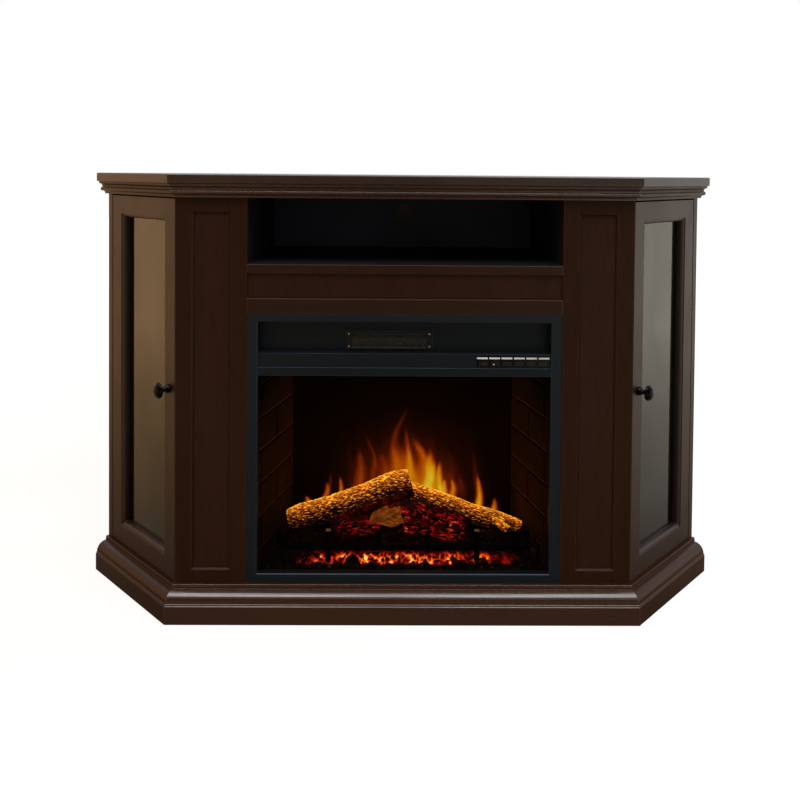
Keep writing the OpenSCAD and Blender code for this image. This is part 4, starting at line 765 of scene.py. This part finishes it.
def split_face():
    """A wedge of split wood between the logs, its pale broken side towards the room."""
    outline = [(-64, 154), (-30, 174), (-6, 177), (-3, 160), (2, 149), (-22, 141), (-42, 147)]
    front_y, back_y = -107, -66
    bm = bmesh.new()
    front = [bm.verts.new(Vector((x, front_y + 0.08 * (x + 62), z)) * MM) for x, z in outline]
    back = [bm.verts.new(Vector((x + 3, back_y, z - 3)) * MM) for x, z in outline]
    bm.faces.new(front)
    bm.faces.new(back[::-1])
    for i in range(len(outline)):
        j = (i + 1) % len(outline)
        bm.faces.new((front[i], back[i], back[j], front[j]))
    bmesh.ops.triangulate(bm, faces=bm.faces[:])
    bmesh.ops.subdivide_edges(bm, edges=bm.edges[:], cuts=11, use_grid_fill=True)
    for v in bm.verts:
        q = v.co * 1000
        v.co += Vector((noise.noise(q * 0.11), noise.noise(q * 0.13 + Vector((9, 0, 0))),
                        noise.noise(q * 0.12 + Vector((0, 7, 0))))) * 0.0010
        v.co.y += 0.0007 * noise.noise(Vector((q.x * 0.08, 3, q.z * 0.7)))
    bmesh.ops.recalc_face_normals(bm, faces=bm.faces[:])
    me = bpy.data.meshes.new("split_wood_face")
    bm.to_mesh(me)
    bm.free()
    g = Graph("split_wood")
    streak = g.noise(g.scaled((110, 110, 620)), 1, 4, 0.6)
    blot = g.noise(g.scaled((70, 70, 70)), 1, 3, 0.5)
    colour = g.ramp(streak, [(0.3, lin(90, 36, 8)), (0.5, lin(160, 78, 20)), (0.72, lin(218, 126, 38))])
    colour = g.mix(g.span(blot, 0.45, 0.75, 0, 0.7), colour, lin(48, 22, 8))
    # the face glows evenly in its own colour: painted light
    mat = g.surface(g.principled(Base_Color=colour, Roughness=g.span(streak, 0.3, 0.7, 0.6, 0.85),
                                 Specular_IOR_Level=0.25, Emission_Color=colour, Emission_Strength=0.85,
                                 Normal=g.bump(streak, 0.5, 0.0008)))
    ob = link(me, "split_wood_face", mat, smooth=False)


split_face()


def bed_half(y):
    """Half the bed's width, which narrows towards the back."""
    return 269 - 44 * (y - FIRE_Y) / 172


def ease(v, lo, hi):
    """A smooth step from 0 to 1."""
    t = min(1.0, max(0.0, (v - lo) / (hi - lo)))
    return t * t * (3 - 2 * t)


def bed(nx=380, ny=130):
    """Rolling lumps over the whole bed, hottest in a band behind the grate's front bar."""
    y0, y1, z0 = FIRE_Y + 3, SCREEN_Y, 68.5
    verts, ridge, hot, faces = [], [], [], []
    for j in range(ny + 1):
        y = y0 + (y1 - y0) * j / ny
        rise = ease(y, y0, y0 + 55)
        for i in range(nx + 1):
            x = bed_half(y) * (2 * i / nx - 1)
            p = Vector((x, y * 0.8, 0)) * 0.085
            w = noise.noise_vector(p * 0.9) * 0.5
            d = noise.voronoi(p + w)[0]
            lump = min(1.0, (d[1] - d[0]) * 1.7)
            small = noise.fractal(Vector((x, y, 3)) * 0.16, 0.7, 2.1, 4)
            row = y + 114 + 7 * noise.noise(Vector((x * 0.05, 5, 0)))
            peak = noise.voronoi(Vector((x * 0.031, 0.2, 0.7)))[0][0]
            crag = max(0.0, 1 - peak * 1.9) * math.exp(-(row / 9.0) ** 2)
            pile = 9 * ease(abs(x), 205, 250) * ease(y, y0 + 6, y0 + 34)
            z = z0 + 3 + 10 * rise + 6 * lump ** 0.8 + 2.2 * small + 20 * crag + pile
            verts.append(Vector((x, y, min(z, 99.5 + pile))) * MM)
            ridge.append(max(0.0, min(1.0, 0.15 + lump * 0.6 + small * 0.3 + crag * 0.5)))
            fall = ease(y, -120, -111) * (1.0 - 0.55 * ease(y, -100, -84)) * (1 - ease(y, -86, -72))
            glow = math.exp(-((x - 5) / 190) ** 6) * fall * (1 - min(1.0, 2.2 * crag))
            patch = 0.85 + 0.8 * noise.noise(Vector((x * 0.035, y * 0.03, 7)))
            hot.append(max(0.0, min(1.0, glow * patch * 1.15)))
    n = nx + 1
    for j in range(ny):
        for i in range(nx):
            faces.append((j * n + i, j * n + i + 1, (j + 1) * n + i + 1, (j + 1) * n + i))
    m = len(verts)
    rim = (list(range(n)) + [j * n + nx for j in range(1, ny + 1)]
           + [ny * n + i for i in range(nx - 1, -1, -1)] + [j * n for j in range(ny - 1, 0, -1)])
    for r in rim:
        v = verts[r]
        verts.append(Vector((v.x, v.y, z0 * MM)))
        ridge.append(0.2)
        hot.append(0.0)
    for k in range(len(rim)):
        a, b = rim[k], rim[(k + 1) % len(rim)]
        faces.append((a, m + k, m + (k + 1) % len(rim), b))
    me = mesh("ember_bed_lumps", verts, faces)
    attr(me, "ridge", ridge)
    attr(me, "cinder", hot)
    ob = link(me, "ember_bed_lumps", M["ember"])
    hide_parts("ember_bed")


bed()


def flame_sheet():
    """The picture of the fire on the screen: tongues of flame over a dull glow."""
    # base x, z; tip x, z; bend; half width; heat at the base and at the tip
    tongues = [
        (-8, 215, 1, 340, -13, 9, 0.20, 0.17), (12, 195, 8, 298, 3, 7, 0.34, 0.18),
        (20, 178, 14, 250, 2, 11, 0.50, 0.20), (2, 170, -4, 262, 4, 24, 0.22, 0.12),
        (-24, 170, -18, 266, 4, 14, 0.16, 0.10), (36, 190, 27, 274, 8, 9, 0.22, 0.20),
        (52, 168, 33, 276, 9, 13, 0.52, 0.20), (56, 160, 60, 250, 2, 14, 0.62, 0.22),
        (62, 165, 68, 222, 0, 10, 0.42, 0.3), (81, 162, 77, 222, -2, 7, 0.95, 0.42),
        (90, 158, 89, 182, 0, 4, 0.6, 0.5), (106, 152, 106, 184, 2, 6, 0.52, 0.30),
        (-62, 190, -70, 278, 7, 5, 0.14, 0.18), (-92, 165, -87, 252, 3, 15, 0.22, 0.18),
        (-86, 168, -86, 218, 0, 11, 0.16, 0.1), (-112, 180, -110, 252, 3, 6, 0.05, 0.06),
        (-36, 176, -44, 245, 4, 12, 0.12, 0.08), (-130, 140, -128, 190, 2, 5, 0.72, 0.36),
        (-160, 146, -156, 178, 2, 6, 0.50, 0.30), (-152, 165, -149, 196, 1, 3, 0.20, 0.20),
        (-192, 126, -201, 148, 0, 9, 0.80, 0.40), (160, 122, 161, 196, 3, 8, 0.94, 0.34),
        (153, 190, 147, 252, 2, 4, 0.13, 0.10), (189, 110, 197, 146, 2, 9, 0.80, 0.34),
        (128, 150, 122, 190, 2, 8, 0.14, 0.10), (104, 190, 98, 250, 4, 6, 0.08, 0.06),
    ]
    x0, x1, z0, z1 = -240.0, 240.0, 66.0, 450.0
    nx, nz = 240, 192
    xs = np.linspace(x0, x1, nx + 1)
    zs = np.linspace(z0, z1, nz + 1)
    X, Z = np.meshgrid(xs, zs)
    wide = np.interp(Z, [140, 320], [150, 215])
    haze = 0.17 * np.exp(-((X - 14) / wide) ** 2 - ((Z - 215) / 130) ** 2)
    haze += 0.17 * np.exp(-((X + 2) / 95) ** 2 - ((Z - 185) / 66) ** 2)
    haze += 0.10 * np.exp(-((X - 112) / 34) ** 2 - ((Z - 165) / 40) ** 2)
    dark = 1 - haze
    for bx, bz, tx, tz, bend, w, low, high in tongues:
        t = (Z - bz) / (tz - bz)
        inside = np.clip(t, 0, 1)
        c = bx + (tx - bx) * t + bend * np.sin(inside * math.pi * 1.35)
        width = w * (1 - inside) ** 0.8 + 1.6
        body = np.exp(-np.abs((X - c) / width) ** 2.2)
        fade = np.where(t < 0, np.exp(-(t * 1.8) ** 2), np.clip((1.04 - t) * 3.5, 0, 1))
        dark = dark * (1 - (low + (high - low) * inside ** 0.8) * body * fade)
        halo = np.exp(-((X - c) / (width + 14)) ** 2 - ((Z - (bz + tz) / 2) / ((tz - bz) * 0.6)) ** 2)
        dark = dark * (1 - 0.07 * low * halo)
    verts = [(x * MM, SCREEN_Y * MM, z * MM) for x, z in zip(X.ravel(), Z.ravel())]
    n = nx + 1
    faces = [(j * n + i, j * n + i + 1, (j + 1) * n + i + 1, (j + 1) * n + i)
             for j in range(nz) for i in range(nx)]
    me = mesh("flame_image", verts, faces)
    attr(me, "blaze", np.clip(1 - dark, 0, 1).ravel())
    ob = link(me, "flame_image", flame_mat())


flame_sheet()


# ---------------------------------------------------------------- small fittings
def plate(bm, x, z, w, h, y, thick, corner):
    """A flat round-cornered plate, its front face at y."""
    ring = []
    for sx, sz, a0 in ((1, 1, 0), (-1, 1, 90), (-1, -1, 180), (1, -1, 270)):
        for k in range(5):
            a = math.radians(a0 + 22.5 * k)
            ring.append((x + sx * (w / 2 - corner) + corner * math.cos(a),
                         z + sz * (h / 2 - corner) + corner * math.sin(a)))
    front = [bm.verts.new(Vector((u, y, v)) * MM) for u, v in ring]
    back = [bm.verts.new(Vector((u, y + thick, v)) * MM) for u, v in ring]
    bm.faces.new(front[::-1])
    bm.faces.new(back)
    for i in range(len(ring)):
        j = (i + 1) % len(ring)
        bm.faces.new((front[i], front[j], back[j], back[i]))


def solid(bm, name, mat, body="cabinet"):
    """What bm holds, as one flat-shaded piece attached to a body."""
    bmesh.ops.recalc_face_normals(bm, faces=bm.faces[:])
    me = bpy.data.meshes.new(name)
    bm.to_mesh(me)
    bm.free()
    ob = link(me, name, mat, body, smooth=False)


def button_mid(i):
    lo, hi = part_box("button_%d" % i)
    return (lo[0] + hi[0]) / 2 / MM, (lo[2] + hi[2]) / 2 / MM


def label_bars():
    """Plain short bars over the buttons, one each."""
    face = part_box("control_panel")[0][1] / MM
    bm = bmesh.new()
    for i in range(1, 7):
        x, z = button_mid(i)
        plate(bm, x + (i - 3.5) * 0.9, z + 10.3, 20.0, 3.2, face - 0.35, 0.35, 0.7)
    solid(bm, "label_bars", M["label_print"])


def indicator(i, dx, colour):
    """A small coloured dot on a button."""
    x, z = button_mid(i)
    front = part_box("button_%d" % i)[0][1] / MM
    g = Graph("indicator_%d" % i)
    fine = g.noise(g.scaled((900, 900, 900)))
    tone = g.mix(g.span(fine, 0.3, 0.7), lin(*colour), times(colour, 0.8))
    mat = g.surface(g.principled(Base_Color=tone, Roughness=0.4))
    bm = bmesh.new()
    plate(bm, x + dx, z - 1, 2.4, 2.4, front - 0.2, 0.2, 1.15)
    solid(bm, "indicator_%d" % i, mat, "button_%d" % i)


def grommet():
    """A black grommet in the cable hole: a lip and two layers of eight flaps, the back one half a flap on."""
    hole_z, r, sides = 731.0, 22.6, 64
    bm = bmesh.new()

    def polar(rad, y, a):
        return bm.verts.new(Vector((rad * math.cos(a), y, hole_z + rad * math.sin(a))) * MM)

    section = ((r - 3, 183.8), (r - 2.4, 182.6), (r + 2.2, 182.4), (r + 3, 183.9), (r, 184.0), (r, 189.0),
               (r - 3, 189.0))
    loops = [[polar(rad, y, 2 * math.pi * i / sides) for i in range(sides)] for rad, y in section]
    for a, b in zip(loops, loops[1:] + loops[:1]):
        for i in range(sides):
            j = (i + 1) % sides
            bm.faces.new((a[i], a[j], b[j], b[i]))
    half = math.pi / 8
    flaps = [(k, 185.2, 0.8) for k in range(8)] + [(k + 0.5, 187.0, 0.02) for k in range(8)]
    for k, front, inner_r in flaps:
        mid = math.pi / 4 * k + half
        pts = [(inner_r, mid)] + [(r - 2.5, mid - half * 0.985 + half * 1.97 * t / 6) for t in range(7)]
        layers = [[polar(q, y, a) for q, a in pts] for y in (front, front + 1.3)]
        bm.faces.new(layers[0])
        bm.faces.new(layers[1][::-1])
        for i in range(len(pts)):
            j = (i + 1) % len(pts)
            bm.faces.new((layers[0][i], layers[1][i], layers[1][j], layers[0][j]))
    solid(bm, "cable_grommet", M["black_plastic"])


def grate_tips():
    """Pale tops on two of the grate's uprights, which glow: a painted highlight."""
    g = Graph("grate_tip")
    fine = g.noise(g.scaled((500, 500, 500)), 1, 3, 0.6)
    tone = g.ramp(fine, [(0.3, lin(84, 58, 30)), (0.6, lin(176, 140, 88))])
    # the tops glow in their own colour: painted highlight
    mat = g.surface(g.principled(Base_Color=tone, Roughness=g.span(fine, 0.3, 0.7, 0.5, 0.8),
                                 Emission_Color=tone, Emission_Strength=0.35))
    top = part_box("grate")[1][2] / MM
    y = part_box("grate")[0][1] / MM + 5
    corners = ((-1, -1), (1, -1), (1, 1), (-1, 1))
    bm = bmesh.new()
    for x in (-142.8, 142.8):
        low, high = ([bm.verts.new(Vector((x + a * half, y + b * half, z)) * MM) for a, b in corners]
                     for half, z in ((4.8, top), (4, top + 1.2)))
        bm.faces.new(low)
        bm.faces.new(high)
        for i in range(4):
            j = (i + 1) % 4
            bm.faces.new((low[i], low[j], high[j], high[i]))
    solid(bm, "grate_tips", mat)


def outlet_slat():
    """A thin bent slat behind the outlet's long slot."""
    lo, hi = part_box("outlet_grille")
    x, z = (lo[0] + hi[0]) / 2 / MM, (lo[2] + hi[2]) / 2 / MM
    bm = bmesh.new()
    plate(bm, x, z + 10.3, 128, 1.5, lo[1] / MM + 2.4, 1.2, 0.6)
    plate(bm, x, z + 11.9, 128, 0.7, lo[1] / MM + 3.1, 1.2, 0.3)
    solid(bm, "outlet_slat", M["black_sheet"])


grate_tips()
outlet_slat()
label_bars()
indicator(1, 2.0, (140, 22, 26))
indicator(2, -3.0, (206, 208, 210))
grommet()


# ---------------------------------------------------------------- floor, world and lamps
# what a glossy surface mirrors at the sides: colours of the walls and the floor, and the walls' level
LEFT_ROOM = (1.0, 0.60, 0.36, 1)
RIGHT_ROOM = (0.97, 0.97, 0.95, 1)
LEFT_FLOOR = (1.0, 0.60, 0.28, 1)
RIGHT_FLOOR = (1.0, 0.94, 0.78, 1)
SIDE_LEVEL = 0.9


def floor():
    """White to the camera with the object's shadow on it; to a glossy surface, a room's floor."""
    me = mesh("floor", [(-12, -12, 0), (12, -12, 0), (12, 12, 0), (-12, 12, 0)], [(0, 1, 2, 3)])
    g = Graph("floor")
    path = g.add("LightPath").outputs
    x = g.xyz(g.obj())[0]
    far = g.add("VectorMath", {0: g.obj()}, operation="LENGTH").outputs["Value"]
    aside = g.span(g.mag(x), 0.5, 0.95)
    seen = g.most(path["Is Camera Ray"], path["Is Transmission Ray"])
    straight = g.mul(seen, g.span(far, 1.2, 5.0, 0.78, 1.0))
    room = g.span(far, 0.9, 3.2, 0.28, SIDE_LEVEL)
    mirrored = g.mul(path["Is Glossy Ray"], g.blend(aside, 0.09, room))
    tint = g.mix(aside, (1, 0.80, 0.60, 1), g.mix(g.more(x, 0.0), LEFT_FLOOR, RIGHT_FLOOR))
    tint = g.mix(path["Is Glossy Ray"], WHITE, tint)
    tone = g.noise(g.scaled((2, 2, 2)))
    colour = g.mix(g.span(tone, 0.3, 0.7), GREY(0.34), GREY(0.36))
    colour = g.mix(path["Is Glossy Ray"], colour, GREY(0.03))
    body = g.add("BsdfDiffuse", {"Color": colour}).outputs[0]
    light = g.add("Emission", {"Color": tint, "Strength": g.most(straight, mirrored)}).outputs[0]
    mat = g.surface(g.add("AddShader", {0: body, 1: light}).outputs[0])
    link(me, "floor", mat, None, False)


def world():
    """White to the camera; to a glossy surface, a room with a warm left wall, a pale right one, a dark front
    and a bright ceiling."""
    w = bpy.data.worlds.new("studio")
    scene.world = w
    w.use_nodes = True
    nt = w.node_tree
    nt.nodes.clear()
    g = Graph.__new__(Graph)
    g.nt, g._obj = nt, None
    out = nt.nodes.new("ShaderNodeOutputWorld")
    path = g.add("LightPath").outputs
    d = g.xyz(g.add("TexCoord").outputs["Generated"])
    level = g.span(d[1], -0.35, 0.9, 0.05, 1.0)
    plain = g.mix(level, (0, 0, 0, 1), WHITE)
    wall = g.mix(g.more(d[0], 0.0), LEFT_ROOM, RIGHT_ROOM)
    wall = g.mix(SIDE_LEVEL, (0, 0, 0, 1), wall)
    aside = g.mul(g.span(g.mag(d[0]), 0.6, 0.85), g.span(d[2], 0.75, 0.4))
    glossy = g.mix(aside, plain, wall)
    glossy = g.mix(g.span(d[2], 0.6, 0.9), glossy, (1.85, 1.9, 2.0, 1))
    seen = g.most(path["Is Camera Ray"], path["Is Transmission Ray"])
    fill = g.mix(g.span(d[0], -0.8, 0.8), (1, 0.84, 0.66, 1), (0.97, 0.97, 1, 1))
    soft = g.add("Background", {"Color": fill, "Strength": 0.42}).outputs[0]
    gloss = g.add("Background", {"Color": glossy, "Strength": 1.0}).outputs[0]
    white = g.add("Background", {"Color": WHITE, "Strength": 1.0}).outputs[0]
    a = g.add("MixShader", {0: path["Is Glossy Ray"], 1: soft, 2: gloss}).outputs[0]
    b = g.add("MixShader", {0: seen, 1: a, 2: white}).outputs[0]
    nt.links.new(b, out.inputs[0])


def softbox(name, place, to, size, power, colour, mirrored=True):
    """A rectangular lamp that looks at a point."""
    l = bpy.data.lights.new(name, "AREA")
    l.shape = "RECTANGLE"
    l.size, l.size_y = size
    l.energy = power
    l.color = colour
    o = bpy.data.objects.new(name, l)
    o.visible_glossy = mirrored
    scene.collection.objects.link(o)
    o.location = place
    o.rotation_euler = (Vector(to) - Vector(place)).to_track_quat("-Z", "Y").to_euler()


floor()
world()
softbox("overhead_left", (-0.7, -1.1, 2.4), (-0.2, -0.1, 0.3), (1.3, 0.9), 13, (1, 0.88, 0.80))
softbox("overhead_right", (0.7, -1.1, 2.4), (0.2, -0.1, 0.3), (1.3, 0.9), 15, (1, 0.96, 0.98))
softbox("left_strip", (-2.4, 0.35, 1.0), (0, 0, 0.4), (1.5, 2.0), 11, (1, 0.55, 0.3), False)
softbox("right_strip", (2.4, 0.35, 1.0), (0, 0, 0.4), (1.5, 2.0), 26, (1, 0.96, 0.94), False)
softbox("low_front", (0, -0.95, 0.05), (0, -0.19, 0.08), (1.7, 0.08), 3.0, (1, 0.84, 0.56), False)
softbox("fire_glow", (0.0, -0.06, 0.43), (0.0, 0.0, 0.1), (0.34, 0.08), 0.35, (1, 0.55, 0.22), False)
